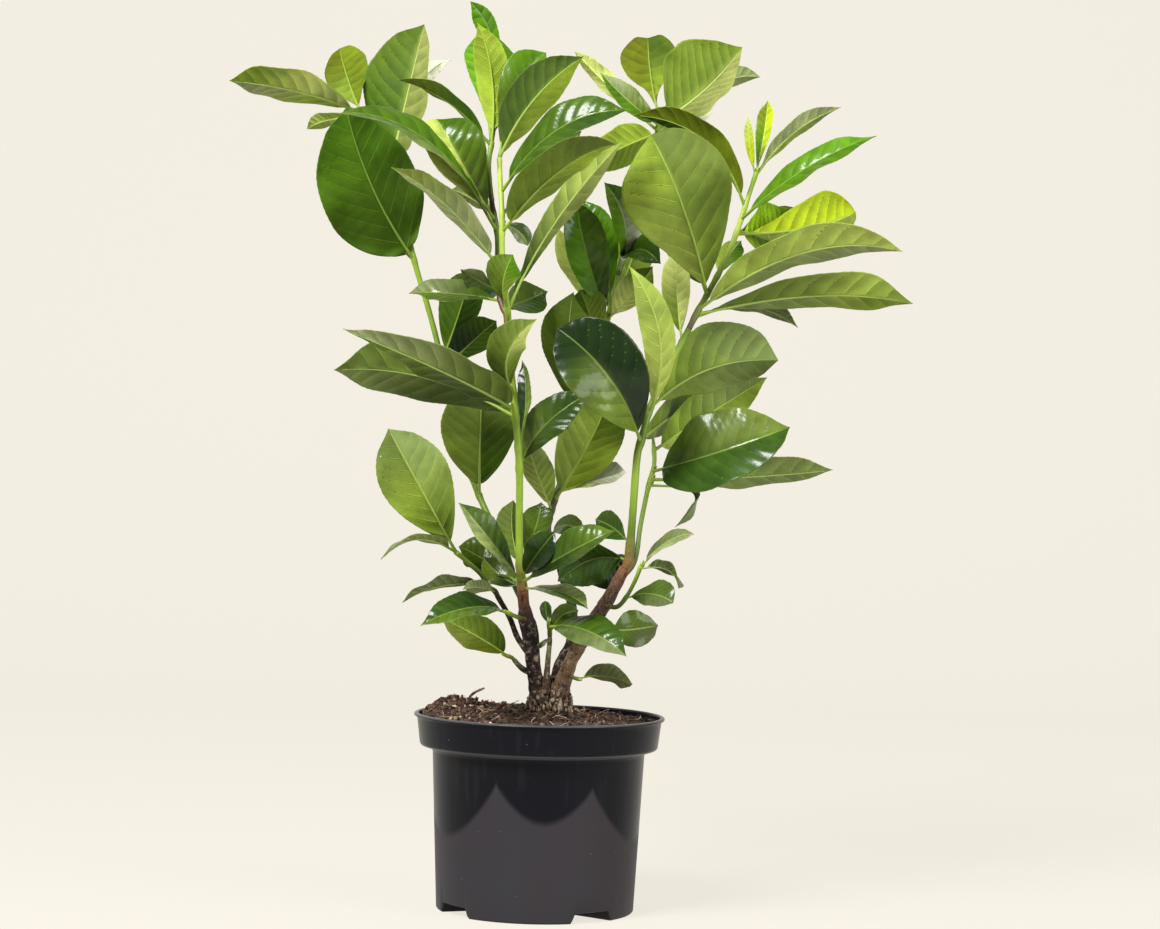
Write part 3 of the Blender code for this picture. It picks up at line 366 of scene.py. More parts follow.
        ((77, 583), (98, 602, 84), (112, 622, 108), 34, 165, 14, 0, 0.5),
    ),
}

# What the fine pot adds: its columns, the radius of its corners, how it cuts up its long runs, the turn in
# radians over which the side of a drain channel slopes, and the height that its roof's slope reaches.
POT_COLUMNS = 360
POT_CORNER, CORNER_STEPS = 0.55, 3
LONG_RUN, RUN_CUTS = 9.0, 6
CHANNEL_SLANT = 0.028
NOTCH_ZONE = 12.0

# What the fine peat adds: its columns and the rings of its top, its gap from the pot, its radius at the
# top, and how its crumbs lie.
PEAT_COLUMNS, PEAT_TOP_RINGS = 240, 74
PEAT_GAP = 0.3
PEAT_RIM = 87.7
PEAT_EDGE = 86.0
HEAPED_SHARE = 0.3
HEAPED_PLACE, HEAPED_SPREAD = (-62, 8), (15, 26)
LARGEST_CRUMB = 2.7
FIBRE_POINTS, FIBRE_SIDES = 6, 4

# The share of each tone among the crumbs, the fibres and the chips of bark.
CRUMB_TONES = {"peat_dark": 0.46, "peat": 0.34, "peat_red": 0.08, "peat_light": 0.1, "chip": 0.02}
FIBRE_TONES = {"peat_dark": 0.1, "peat": 0.25, "peat_red": 0.25, "peat_light": 0.3, "chip": 0.1}
CHIP_TONES = {"ash": 0.44, "tan": 0.2, "bark": 0.2, "bark_dark": 0.16}

# A crumb: the twelve corners and twenty faces of an icosahedron, whose corners lie at about 1 from its
# centre.
GOLDEN = (1 + 5**0.5) / 2
CORNER_DISTANCE = 1.9
ICO_POINTS = (
    np.array(
        [
            (-1, GOLDEN, 0), (1, GOLDEN, 0), (-1, -GOLDEN, 0), (1, -GOLDEN, 0),
            (0, -1, GOLDEN), (0, 1, GOLDEN), (0, -1, -GOLDEN), (0, 1, -GOLDEN),
            (GOLDEN, 0, -1), (GOLDEN, 0, 1), (-GOLDEN, 0, -1), (-GOLDEN, 0, 1),
        ]
    )
    / CORNER_DISTANCE
)
ICO_FACES = np.array(
    [
        (0, 11, 5), (0, 5, 1), (0, 1, 7), (0, 7, 10), (0, 10, 11),
        (1, 5, 9), (5, 11, 4), (11, 10, 2), (10, 7, 6), (7, 1, 8),
        (3, 9, 4), (3, 4, 2), (3, 2, 6), (3, 6, 8), (3, 8, 9),
        (4, 9, 5), (2, 4, 11), (6, 2, 10), (8, 6, 7), (9, 8, 1),
    ]
)

# The crown's foot: the count and depth of its lobes, its rings and sides, and its chips of bark: how deep
# they lie between the lobes, the height that they start at, and their sizes.
LOBES, LOBE_DEPTH = 5, 0.16
FOOT_STEP, FOOT_SIDES = 1.0, 90
CHIP_DEPTH = 0.13
CHIPS_FROM = 150.0
CHIP_SIZES = (0.7, 2.0)

# The leaves with blunt tips, by shoot and row: how far their lobes reach past the midrib's end.
BLUNT = {
    ("shoot_top", 5): 14.0,
    ("shoot_far_left", 4): 3.0,
    ("shoot_right_top", 0): 0.0,
    ("shoot_right_top", 7): 0.0,
}

# The sweep, in millimetres: how far its floor reaches to the front and rear, its bend, its top and half its
# width.
SWEEP_FRONT, SWEEP_REAR = 650.0, 1800.0
SWEEP_BEND, SWEEP_TOP, SWEEP_HALF_WIDTH = 500.0, 3200.0, 2600.0

# The lights' places and sizes and the middle that they face, in metres, and the camera's sensor and reach.
MIDDLE = (0.0, 0.0, 0.35)
KEY_PLACE, KEY_SIZE = (-1.1, -1.5, 2.1), 0.9
FILL_PLACE, FILL_SIZE = (1.8, -1.2, 0.9), 1.4
SENSOR_WIDTH = 36.0
FARTHEST_SEEN = 20.0

# Where finishes blend in, in metres of height or radius: the pale lines on the pot's ledge and rim, which are
# painted highlights, the painted shade in the hollow under its foot, and the pale flakes at the crown's foot.
LEDGE_FROM, LEDGE_TO = (0.1196, 0.1204), (0.1236, 0.1228)
RIM_FROM = (0.1445, 0.1452)
HOLLOW_RADIUS, HOLLOW_HEIGHT = (0.0732, 0.0724), (0.016, 0.011)
FLAKES_FROM = (0.24, 0.165)

# The tones that the pieces are finished in, as eight-bit screen colours.
TONES = {
    # leaves, from the darkest to the palest
    "night": (24, 42, 14),
    "pine": (46, 72, 18),
    "forest": (62, 90, 10),
    "moss": (64, 84, 26),
    "slate": (80, 90, 50),
    "fern": (78, 100, 24),
    "ivy": (72, 110, 12),
    "olive": (92, 109, 42),
    "bronze": (104, 120, 20),
    "vivid": (88, 136, 16),
    "khaki": (92, 102, 12),
    "leaf": (106, 128, 40),
    "grey": (106, 118, 72),
    "sage": (116, 133, 70),
    "lime": (128, 150, 46),
    "apple": (134, 172, 20),
    "spring": (154, 178, 54),
    "citron": (162, 182, 26),
    "silver": (140, 152, 98),
    "pale": (148, 168, 70),
    "butter": (172, 188, 88),
    "cream": (194, 206, 112),
    "celery": (184, 196, 132),
    "milk": (212, 214, 184),
    # stems and midribs
    "cane": (132, 160, 42),
    "cane_pale": (172, 194, 74),
    "cane_dark": (86, 112, 30),
    "rib": (150, 172, 72),
    "scar": (120, 84, 44),
    "wine": (70, 50, 34),
    # wood
    "bark_black": (34, 26, 24),
    "bark_dark": (54, 38, 32),
    "bark": (84, 62, 48),
    "rust": (134, 88, 58),
    "tan": (132, 102, 76),
    "ash": (170, 154, 130),
    "lichen": (112, 112, 78),
    # peat, and what lies on the pot
    "peat_dark": (50, 38, 32),
    "peat": (98, 77, 64),
    "peat_red": (106, 70, 54),
    "peat_light": (150, 128, 102),
    "chip": (196, 176, 150),
    # dust also colours the painted highlights on the pot's ledge and rim and its painted streaks
    "dust": (120, 120, 124),
}

# Each leaf's tones on the side that faces the front, in the order of its shoot's rows: one for the whole
# blade, or four, for the root and the tip of its left half and then of its right half.
# The tones also carry painted light and shade: leaves in the shade of others have dark tones, and leaves that
# light shines through or glints on have pale ones.
BLADE_TONES = {
    "shoot_left": (
        "olive silver moss leaf", "fern olive moss sage", "leaf cream leaf olive",
        "night night olive olive", "olive pine moss pine", "leaf silver pine moss", "fern",
        "night lime moss moss", "night moss fern olive", "fern moss fern moss", "pine pine night night",
        "pine fern night moss", "silver sage moss pine",
    ),
    "shoot_left_dark": (
        "sage forest ivy forest", "butter butter fern forest", "celery pale celery celery", "sage",
        "vivid bronze bronze bronze", "spring", "vivid", "vivid", "ivy", "pine moss pine silver",
        "moss fern moss grey", "fern moss pine pine", "milk olive butter olive",
    ),
    "shoot_left_bright": (
        "leaf spring leaf olive", "forest forest forest pine", "moss moss grey grey",
        "lime spring moss moss", "fern ivy ivy ivy", "lime", "lime vivid fern fern",
        "forest cream moss butter", "olive",
    ),
    "shoot_far_left": (
        "forest olive leaf olive", "forest ivy forest ivy", "lime butter butter butter",
        "cream lime spring silver", "bronze bronze lime khaki", "butter cream forest fern",
        "pine ivy forest moss", "ivy forest night forest", "fern", "milk", "moss",
    ),
    "shoot_low_left": (
        "leaf sage lime olive", "grey", "sage silver silver silver", "silver",
    ),
    "sprout_left": (
        "fern leaf lime pale",
    ),
    "sprout_dark_left": (
        "pine fern night pine",
    ),
    "sprout_centre": (
        "forest pine moss grey", "fern moss fern pine", "pine", "pine",
    ),
    "sprout_front": (
        "silver silver grey silver",
    ),
    "sprout_right": (
        "moss moss moss slate", "grey grey silver olive", "slate grey silver grey",
    ),
    "sprout_right_low": (
        "moss fern moss slate",
    ),
    "shoot_right": (
        "leaf night night night", "butter pale butter pale", "cream cream lime cream",
        "leaf sage leaf sage", "pine", "pine pine pine moss", "night", "leaf",
    ),
    "shoot_right_thin": (
        "moss olive pine pine", "pale lime leaf sage", "sage", "grey silver grey grey",
    ),
    "shoot_right_top": (
        "leaf olive pale lime", "bronze bronze leaf forest", "ivy bronze citron citron",
        "citron butter citron butter", "lime sage silver silver", "ivy vivid ivy ivy", "apple",
        "pale pale citron citron", "sage silver pale butter", "sage lime olive pale",
        "olive grey olive grey", "lime leaf ivy pine", "leaf", "olive",
    ),
    "shoot_rear": (
        "spring forest pale leaf", "pale sage butter lime", "fern fern fern fern",
        "leaf leaf fern fern", "vivid ivy forest forest", "butter", "ivy vivid vivid vivid",
        "cream lime cream fern", "moss olive pine pine", "fern", "forest", "leaf",
        "milk milk cream milk",
    ),
    "shoot_top": (
        "vivid forest milk pine", "forest pine forest pine", "spring spring lime lime",
        "ivy ivy leaf silver", "cream", "spring fern bronze khaki", "cream cream leaf leaf", "silver",
        "milk", "olive", "leaf",
    ),
}

# The tones up each stem, at evenly spaced places from its root to its tip.
STEM_TONES = {
    "trunk_left": ("bark", "bark_dark", "bark_black", "bark_black", "bark_dark", "rust"),
    "trunk_right": ("bark", "tan", "tan", "tan", "bark", "bark", "rust"),
    "trunk_rear": ("bark_dark", "bark_dark", "bark_dark", "bark_black", "bark_black"),
    "twig_front": ("bark", "bark", "lichen"),
    "twig_left": ("bark_dark", "bark_dark", "bark_black", "bark_dark"),
    "twig_mossy": ("bark_dark", "bark_black", "lichen"),
    "loose_twig": ("bark_dark", "bark", "bark", "ash"),
    "shoot_left": ("rust", "cane", "cane", "cane", "cane", "cane", "cane", "scar"),
    "shoot_left_dark": ("scar", "wine", "wine", "cane_dark", "wine", "cane_dark", "cane"),
    "shoot_left_bright": ("cane", "cane_pale"),
    "shoot_far_left": ("cane_dark", "cane_dark", "cane", "cane_dark", "cane", "cane_dark", "cane"),
    "shoot_rear": ("bark_dark", "cane_dark", "cane"),
    "shoot_top": ("cane_dark", "cane"),
    "shoot_right": ("scar", "cane_dark", "cane", "cane_dark", "cane", "cane", "cane_dark"),
    "shoot_right_top": ("wine", "cane", "cane_pale", "cane"),
    "shoot_right_thin": ("wine", "cane_dark", "cane", "cane"),
    "shoot_low_left": ("wine", "cane_dark", "cane"),
    "sprout_left": ("cane_dark", "cane"),
    "sprout_dark_left": ("wine", "cane"),
    "sprout_centre": ("wine", "cane_dark"),
    "sprout_front": ("wine", "cane_dark"),
    "sprout_right": ("wine", "cane_dark", "cane"),
    "sprout_right_low": ("wine", "cane_dark"),
}

# The tones of the side that faces the rear, under or upper, and the front's share in them.
SHADY_TONE, SUNNY_TONE = "olive", "pine"
FRONT_SHARE = 0.35

# How much further to the front and rear the stems and leaves reach than their tables' depths.
STEM_REACH = 1.9
LEAF_REACH = 2.1

# The shape of a leaf: its stalk, its outline and its waved edge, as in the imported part.
STALK_LENGTH = 9.0
STALK_SHARE = 0.11
ROUNDNESS = 0.64
WAVE_SHARE = 0.07
WAVE_TURNS = 2.4

# What the fine blade adds to that shape. A blade is cut up across by shares of its half width, and along by
# stations that crowd at both ends.
ACROSS = (0.0, 0.06, 0.16, 0.3, 0.45, 0.6, 0.74, 0.86, 0.95, 1.0)
STATION_STEP = 1.7
FEWEST_STATIONS, MOST_STATIONS = 16, 60
CROWDING = 0.35
LEAST_HALF_WIDTH = 0.18
EDGE_THICKNESS, MIDDLE_THICKNESS = 0.3, 0.7
VEIN_PAIRS = 9.0
VEIN_RISE, VEIN_BEND = 0.72, 0.3
VEIN_HALF_SHARE = 0.15
VEIN_OFFSET = 0.4
DOME = 0.055
TIP_STARTS, TIP_POINTS = (0.72, 0.88), (0.45, 0.3)
SLIM, BROAD = 0.35, 0.5
BLUNT_STARTS, BLUNTER = 0.3, -0.2
TOOTH_STEP = 5.5
TOOTH_HEIGHT = 0.5
BUCKLE, BUCKLE_SIZE = 1.3, 17.0
# Patches of painted light and shade on the blades, for the shadows of other leaves seen through a blade and
# the light that shines through it: their strength, size and tint.
SHADE_PATCHES, SHADE_PATCH_SIZE, SHADE_PATCH_TINT = 0.18, 26.0, (1.25, 1.0, 1.1)
FULL_QUILT_WIDTH = 45.0
FULL_RIB_LENGTH = 80.0
RIB_RADII = ((0.0, 1.35), (0.06, 1.1), (0.12, 1.0), (0.4, 0.62), (0.75, 0.36), (1.0, 0.14))
RIB_DROP = 0.45
RIB_END = 0.955
RIB_SIDES = 8

# Stems: how far apart their rings lie, how many sides they have, and how they swell where a leaf grows.
# Leaves grow from a line with coarser steps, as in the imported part.
STEM_STEP, STEM_SIDES = 2.0, 14
WOOD_STEP, WOOD_SIDES = 1.4, 30
ROOTING_STEP = 19.0
NODE_SWELL = 0.2
NODE_LENGTH = 3.2

# The length and radius of the buds beside the leaves and at a shoot's tip, and how fine they are.
SIDE_BUD = (3.8, 0.95)
TIP_BUD = (5.0, 1.25)
BUD_RINGS, BUD_SIDES = 9, 8

# The order of a leafy shoot's finishes, and the one finish of any other piece.
UPPER, UNDER, STEM, ONLY = 0, 1, 2, 0


def placed(x, z, depth):
    """The point, in millimetres, that shows at the front reading (x, z) and lies at this depth."""
    reading = np.array([x, 0.0, z])
    return EYE + (reading - EYE) * (depth - EYE[1]) / -EYE[1]


def smooth_line(points, spacing):
    """A Catmull-Rom curve through the rows of points (place and radius), at about this spacing."""
    rows = np.vstack([2 * points[0] - points[1], points, 2 * points[-1] - points[-2]])
    out = [points[:1]]
    for i in range(len(points) - 1):
        a, b, c, d = rows[i : i + 4]
        steps = max(1, round(np.linalg.norm(c[:3] - b[:3]) / spacing))
        t = np.arange(1, steps + 1)[:, None] / steps
        bend = 2 * b + (c - a) * t + (2 * a - 5 * b + 4 * c - d) * t**2 + (3 * b - a - 3 * c + d) * t**3
        out.append(bend / 2)
    return np.concatenate(out)


def stem_rows(points):
    """The placed points of a stem, each with its radius."""
    return np.array([[*placed(x, z, depth * STEM_REACH), radius] for x, z, depth, radius in points])


def stem_line(name, spacing):
    """A stem's line, from its table."""
    points = WOOD[name] if name in WOOD else SHOOTS[name][2]
    return smooth_line(stem_rows(points), spacing)


def nearest_on(line, x, z):
    """The point on a stem's line that shows nearest to the front reading (x, z)."""
    starts, ends = line[:-1, :3], line[1:, :3]
    fine = np.linspace(0, 1, 12)[:, None, None]
    samples = (starts + (ends - starts) * fine).reshape(-1, 3)
    shown = EYE + (samples - EYE) * (-EYE[1] / (samples[:, 1:2] - EYE[1]))
    return samples[np.argmin(np.hypot(shown[:, 0] - x, shown[:, 2] - z))]


def unit(v):
    """The vector, or each of the vectors, made 1 long."""
    return v / np.linalg.norm(v, axis=-1, keepdims=True)


def smoothstep(low, high, x):
    """0 below low, 1 above high, and 3t^2 - 2t^3 between them."""
    t = np.clip((x - low) / (high - low), 0, 1)
    return t * t * (3 - 2 * t)


def linear(colour):
    """An eight-bit screen colour as scene-linear numbers: the screen's power curve undone."""
    share = np.asarray(colour, float) / 255
    return np.where(share <= 0.04045, share / 12.92, ((share + 0.055) / 1.055) ** 2.4)


def tone(name):
    """A named tone as scene-linear numbers."""
    return linear(TONES[name])


def noise(points, size, seed=0):
    """Smooth noise from -1 to 1: random numbers at the corners of cubes of this size, blended by smoothsteps.

    A corner's number is a hash of its whole coordinates, so that it is the same in each run."""
    cell = np.floor(points / size)
    part = smoothstep(0, 1, points / size - cell)
    total = np.zeros(points.shape[:-1])
    for corner in np.ndindex(2, 2, 2):
        x, y, z = np.moveaxis((cell + corner).astype(np.int64), -1, 0)
        mixed = (x * 374761393 + y * 668265263 + z * 1274126177 + (seed + SEED) * 69069) & 0xFFFFFFFF
        mixed = ((mixed ^ (mixed >> 13)) * 1103515245) & 0xFFFFFFFF
        number = ((mixed ^ (mixed >> 16)) & 0xFFFF) / 0xFFFF
        total += number * np.where(corner, part, 1 - part).prod(axis=-1)
    return 2 * total - 1


class Skin:
    """The surfaces of one mesh, gathered: points, faces with a finish each, two maps and a tone."""

    def __init__(self):
        self.points, self.faces, self.finish = [], [], []
        self.share, self.plan, self.tone = [], [], []
        self.count = 0

    def add(self, points, faces, finish, tones, share=None, plan=None):
        """Adds one surface. Tones are one colour or one a point, and a map is a pair of numbers a point."""
        points = points.reshape(-1, 3)
        blank = np.zeros((len(points), 2))
        self.points.append(points)
        self.join(faces + self.count, finish)
        self.share.append(blank if share is None else share.reshape(-1, 2))
        self.plan.append(blank if plan is None else plan.reshape(-1, 2))
        self.tone.append(np.broadcast_to(tones, (len(points), 3)))
        self.count += len(points)

    def join(self, faces, finish):
        """Adds faces between points that are numbered over the whole mesh."""
        self.faces += faces.tolist()
        self.finish += [finish] * len(faces)

    def object(self, name, finishes):
        """The mesh object of all the surfaces, shaded smooth."""
        mesh = bpy.data.meshes.new(name)
        mesh.from_pydata((np.concatenate(self.points) * MM).tolist(), [], self.faces)
        for finish in finishes:
            mesh.materials.append(finish)
        mesh.polygons.foreach_set("material_index", np.array(self.finish, np.int32))
        mesh.polygons.foreach_set("use_smooth", np.ones(len(self.faces), bool))
        corners = np.empty(len(mesh.loops), np.int32)
        mesh.loops.foreach_get("vertex_index", corners)
        for title, rows in (("share", self.share), ("plan", self.plan)):
            layer = mesh.uv_layers.new(name=title)
            layer.data.foreach_set("uv", np.concatenate(rows)[corners].astype(np.float32).ravel())
        colours = np.column_stack([np.concatenate(self.tone), np.ones(self.count)])
        layer = mesh.color_attributes.new("tone", "FLOAT_COLOR", "POINT")
        layer.data.foreach_set("color", colours.astype(np.float32).ravel())
        mesh.update()
        made = bpy.data.objects.new(name, mesh)
        bpy.context.scene.collection.objects.link(made)
        return made


def grid_faces(rows, columns, closed):
    """The quads of a grid of points numbered row by row, joined into a ring across if it is closed."""
    i = np.arange(rows - 1)[:, None] * columns
    j = np.arange(columns if closed else columns - 1)
    k = (j + 1) % columns
    return np.stack([i + j, i + k, i + columns + k, i + columns + j], axis=-1).reshape(-1, 4)


def poles(rows, columns):
    """The fans that close both ends of a ring grid onto two more points, numbered after its own."""
    j = np.arange(columns)
    k = (j + 1) % columns
    last = (rows - 1) * columns
    first_pole = np.full(columns, rows * columns)
    return np.concatenate(
        [np.stack([first_pole, k, j], axis=-1), np.stack([last + j, last + k, first_pole + 1], axis=-1)]
    )


def distances(places):
    """How far each point lies along its line."""
    return np.concatenate([[0], np.cumsum(np.linalg.norm(np.diff(places, axis=0), axis=1))])


def add_tube(skin, line, sides, finish, tones, relief=None):
    """A tube along a line: place + radius (cos a across + sin a other), with a low dome on each end.

    relief, a function of the points, pushes them out by that many millimetres."""
    place, radius = line[:, :3], line[:, 3]
    along = unit(np.gradient(place, axis=0))
    across = np.empty_like(along)
    across[0] = unit(np.cross(along[0], [0.31, 0.87, 0.38]))
    for i in range(1, len(line)):
        across[i] = unit(across[i - 1] - along[i] * (across[i - 1] @ along[i]))
    other = np.cross(along, across)
    angle = np.linspace(0, 2 * np.pi, sides, endpoint=False)[None, :, None]
    outward = np.cos(angle) * across[:, None] + np.sin(angle) * other[:, None]
    rings = place[:, None] + radius[:, None, None] * outward
    if relief is not None:
        rings = rings + outward * relief(rings)[..., None]
    ends = np.stack([place[0] - along[0] * radius[0] * 0.4, place[-1] + along[-1] * radius[-1] * 0.4])
    points = np.concatenate([rings.reshape(-1, 3), ends])
    tones = np.broadcast_to(tones, (len(line), 3))
    colours = np.concatenate([np.repeat(tones, sides, axis=0), tones[[0, -1]]])
    far = distances(place)
    plan = np.stack(np.broadcast_arrays(far[:, None] / 10, angle[..., 0]), axis=-1).reshape(-1, 2)
    plan = np.concatenate([plan, plan[[0, -1]]])
    share = plan / [max(far[-1] / 10, 1e-6), 2 * np.pi]
    caps = poles(len(line), sides) + skin.count
    skin.add(points, grid_faces(len(line), sides, True), finish, colours, share, plan)
    skin.join(caps, finish)


def tone_run(names, count):
    """Tones blended evenly through the named ones, one for each of this many places."""
    stops = np.array([tone(name) for name in names])
    at = np.linspace(0, len(stops) - 1, count)
    return np.stack([np.interp(at, np.arange(len(stops)), column) for column in stops.T], axis=1)


class Leaf:
    """A leaf's midrib, a quadratic curve through three points, with the frame of its blade along it."""

    def __init__(self, line, row, notch=None):
        (root_x, root_z), middle, tip, self.width, turn, fold, twist, fullest = row
        self.root = nearest_on(line, root_x, root_z)
        self.tip = self.reached(*tip)
        self.control = 2 * self.reached(*middle) - (self.root + self.tip) / 2
        self.turn, self.fold, self.twist = np.radians([turn, fold, twist])
        self.bias = math.log(0.5) / math.log(fullest)
        self.length = distances(self.at(np.linspace(0, 1, 20)))[-1]
        self.blade_start = min(STALK_LENGTH / self.length, STALK_SHARE)
        breadth = self.width / self.length
        self.tip_start = np.interp(breadth, (SLIM, BROAD), TIP_STARTS)
        self.tip_point = np.interp(breadth, (SLIM, BROAD), TIP_POINTS)
        self.notch = notch or 0.0
        if notch is not None:
            self.tip_start, self.tip_point = BLUNT_STARTS, BLUNTER
        chord = unit(self.tip - self.root)
        sight = EYE - self.at(0.5)
        facing = unit(sight - chord * (sight @ chord))
        self.up = math.cos(self.turn) * facing + math.sin(self.turn) * np.cross(facing, chord)

    def reached(self, x, z, depth):
        """The placed point, with its depth counted from the root's and drawn out."""
        return placed(x, z, self.root[1] + LEAF_REACH * (depth - self.root[1] / STEM_REACH))

    def at(self, t):
        """The midrib's point at each t."""
        t = np.asarray(t, float)[..., None]
        return (1 - t) ** 2 * self.root + 2 * t * (1 - t) * self.control + t**2 * self.tip

    def frame(self, t):
        """The unit vectors along the midrib, across the blade and out of its upper side, at each t."""
        t = np.asarray(t, float)[..., None]
        along = unit((1 - t) * (self.control - self.root) + t * (self.tip - self.control))
        up = unit(self.up - along * (along @ self.up)[..., None])
        across = np.cross(up, along)
        angle = self.twist * (t - 0.5)
        return along, np.cos(angle) * across + np.sin(angle) * up, np.cos(angle) * up - np.sin(angle) * across

    def half_width(self, u):
        """Half the blade's width at u, from 0 where the blade starts to 1 at its tip.

        It is a sine to a power that grows towards the tip and so draws it out, less saw teeth."""
        power = ROUNDNESS + self.tip_point * smoothstep(self.tip_start, 1.0, u)
        body = np.sin(np.pi * np.clip(u, 0, 1) ** self.bias) ** power
        teeth = (u * self.length / TOOTH_STEP) % 1 * smoothstep(0.15, 0.4, u) * smoothstep(0.0, 0.5, body)
        return np.maximum(self.width / 2 * body - TOOTH_HEIGHT * teeth, LEAST_HALF_WIDTH)

    def vein_phase(self, u, s, half):
        """The side veins' count at a point: 9 (u - (0.72 y + 0.3 y^2 / w) / length).

        Here y is the distance across and w half the blade's full width. One side counts 0.4 more."""
        y = np.abs(s) * half
        rise = VEIN_RISE * y + VEIN_BEND * y**2 / (self.width / 2)
        return VEIN_PAIRS * (u - rise / self.length) + VEIN_OFFSET * (s > 0)


def vein_height(phase, side):
    """How near a point is to a side vein, 1 on it: bell curves round each whole count and a half.

    They fade out at the midrib and towards the edge."""
    away = np.abs(phase % 1 - 0.5)
    fade = smoothstep(0.02, 0.12, side) * (1 - smoothstep(0.8, 1, side))
    return np.exp(-((away / VEIN_HALF_SHARE) ** 2)) * fade


def blade_tones(names, u, s):
    """The blade's tones: from root to tip and from the left half to the right half of the names."""
    words = names.split()
    if len(words) == 1:
        words = words * 4
    corners = np.array([tone(word) for word in words])
    to_tip = smoothstep(0.2, 0.85, u)[..., None]
    to_right = 1 - smoothstep(-0.1, 0.1, s)[..., None]
    left = corners[0] * (1 - to_tip) + corners[1] * to_tip
    right = corners[2] * (1 - to_tip) + corners[3] * to_tip
    return left * (1 - to_right) + right * to_right


def add_leaf(skin, leaf, names, quilting):
    """A leaf: its blade, with an upper and an under side, and its stalk and midrib.

    A point of the blade lies s half-widths out of the midrib, along a line that is raised by the fold. A
    dome 4 s (1 - s), waves that grow as s^1.7 and the quilting between the veins are added to that. The two
    sides lie half a thickness above and below that middle surface."""
    count = int(np.clip(leaf.length / STATION_STEP, FEWEST_STATIONS, MOST_STATIONS))
    even = np.linspace(0, 1, count)
    u = (1 - CROWDING) * even + CROWDING * (0.5 - 0.5 * np.cos(np.pi * even))
    t = leaf.blade_start + (1 - leaf.blade_start) * u
    s = np.array([*ACROSS[:0:-1], *(-x for x in ACROSS)])
    along, across, up = leaf.frame(t)
    u, s = np.meshgrid(u, s, indexing="ij")
    half = leaf.half_width(u)
    side = np.abs(s)
    settle = smoothstep(0, 0.06, u)
    sway = np.where(s > 0, 1.0, -0.8) * side**1.7 * np.sin(2 * np.pi * WAVE_TURNS * u + leaf.width)
    phase = leaf.vein_phase(u, s, half)
    quilting = quilting * min(1.0, leaf.width / FULL_QUILT_WIDTH)
    quilt = quilting * (0.45 - vein_height(phase, side)) * (side > 0)
    flat = np.stack([u * leaf.length, s * half, np.full_like(u, leaf.root[2])], axis=-1)
    quilt = quilt + BUCKLE * side * noise(flat, BUCKLE_SIZE, int(leaf.width))
    lift = half * (side * math.sin(leaf.fold) + 4 * DOME * side * (1 - side) + WAVE_SHARE * sway) * settle
    lift = lift + quilt * settle * (1 - smoothstep(0.85, 1, u))
    middle = leaf.at(t)[:, None] + across[:, None] * (s * half * math.cos(leaf.fold))[..., None]
    forward = leaf.notch * smoothstep(0, 0.25 * leaf.width, side * half) * smoothstep(0.5, 0.95, u)
    middle = middle + along[:, None] * forward[..., None]
    thick = (EDGE_THICKNESS + (MIDDLE_THICKNESS - EDGE_THICKNESS) * (1 - side**2)) / 2
    upper = middle + up[:, None] * (lift + thick)[..., None]
    lower = middle + up[:, None] * (lift - thick)[..., None]
    share = np.stack([phase, s], axis=-1)
    plan = np.stack([u * leaf.length / 10, s * half / 10], axis=-1)
    # Painted light and shade: soft patches for the shadows of other leaves and the light seen through the
    # blade
    blotch = SHADE_PATCHES * noise(flat, SHADE_PATCH_SIZE, int(leaf.width) + 9)[..., None] * SHADE_PATCH_TINT
    shown = blade_tones(names, u, s) * (1 + blotch)
    front_is_upper = math.cos(leaf.turn) > 0
    hidden = FRONT_SHARE * shown + (1 - FRONT_SHARE) * tone(SHADY_TONE if front_is_upper else SUNNY_TONE)
    rows, columns = u.shape
    faces = grid_faces(rows, columns, False)
    below = rows * columns
    index = np.arange(below).reshape(rows, columns)
    rim = np.concatenate([index[0], index[1:, -1], index[-1, -2::-1], index[-2:0:-1, 0]])
    start = skin.count
    skin.add(upper, faces, UPPER, (shown if front_is_upper else hidden).reshape(-1, 3), share, plan)
    skin.add(lower, faces[:, ::-1], UNDER, (hidden if front_is_upper else shown).reshape(-1, 3), share, plan)
    after = np.roll(rim, -1)
    edge = np.stack([after, rim, rim + below, after + below], axis=-1) + start
    skin.join(edge, UPPER)
    add_rib(skin, leaf, count // 2, 0.5 * tone("rib") + 0.7 * shown.mean(axis=(0, 1)))


def add_rib(skin, leaf, count, blade_tone):
    """A leaf's stalk and midrib: a tube that thins out, and sinks into the blade where that starts."""
    on_blade = np.linspace(leaf.blade_start, RIB_END, count)
    t = np.concatenate([np.linspace(0, leaf.blade_start, 5), on_blade[1:]])
    drop = RIB_DROP * smoothstep(0, leaf.blade_start, t)
    radius = np.interp(t, *np.array(RIB_RADII).T) * np.clip(leaf.length / FULL_RIB_LENGTH, 0.6, 1.1)
    place = leaf.at(t) - leaf.frame(t)[2] * drop[:, None]
    past_stalk = smoothstep(0, 2.5 * leaf.blade_start, t)[:, None]
    tones = tone("cane") * (1 - past_stalk) + blade_tone * past_stalk
    add_tube(skin, np.column_stack([place, radius]), RIB_SIDES, STEM, tones)


def trimmed(line, start, end=None):
    """The stretch of a line between two distances along it."""
    far = distances(line[:, :3])
    end = far[-1] if end is None else end
    keep = far[(far > start + 0.3) & (far < end - 0.3)]
    places = np.concatenate([[start], keep, [end]])
    return np.stack([np.interp(places, far, column) for column in line.T], axis=1)


def add_bud(skin, foot, axis, length, radius, names):
    """A pointed bud: a tube whose radius is a skewed half sine."""
    x = np.linspace(0, 1, BUD_RINGS)
    place = foot + unit(axis) * (x * length)[:, None]
    swell = radius * np.maximum(np.sin(np.pi * (0.16 + 0.84 * x) ** 0.8), 0.06)
    add_tube(skin, np.column_stack([place, swell]), BUD_SIDES, STEM, tone_run(names, len(x)))


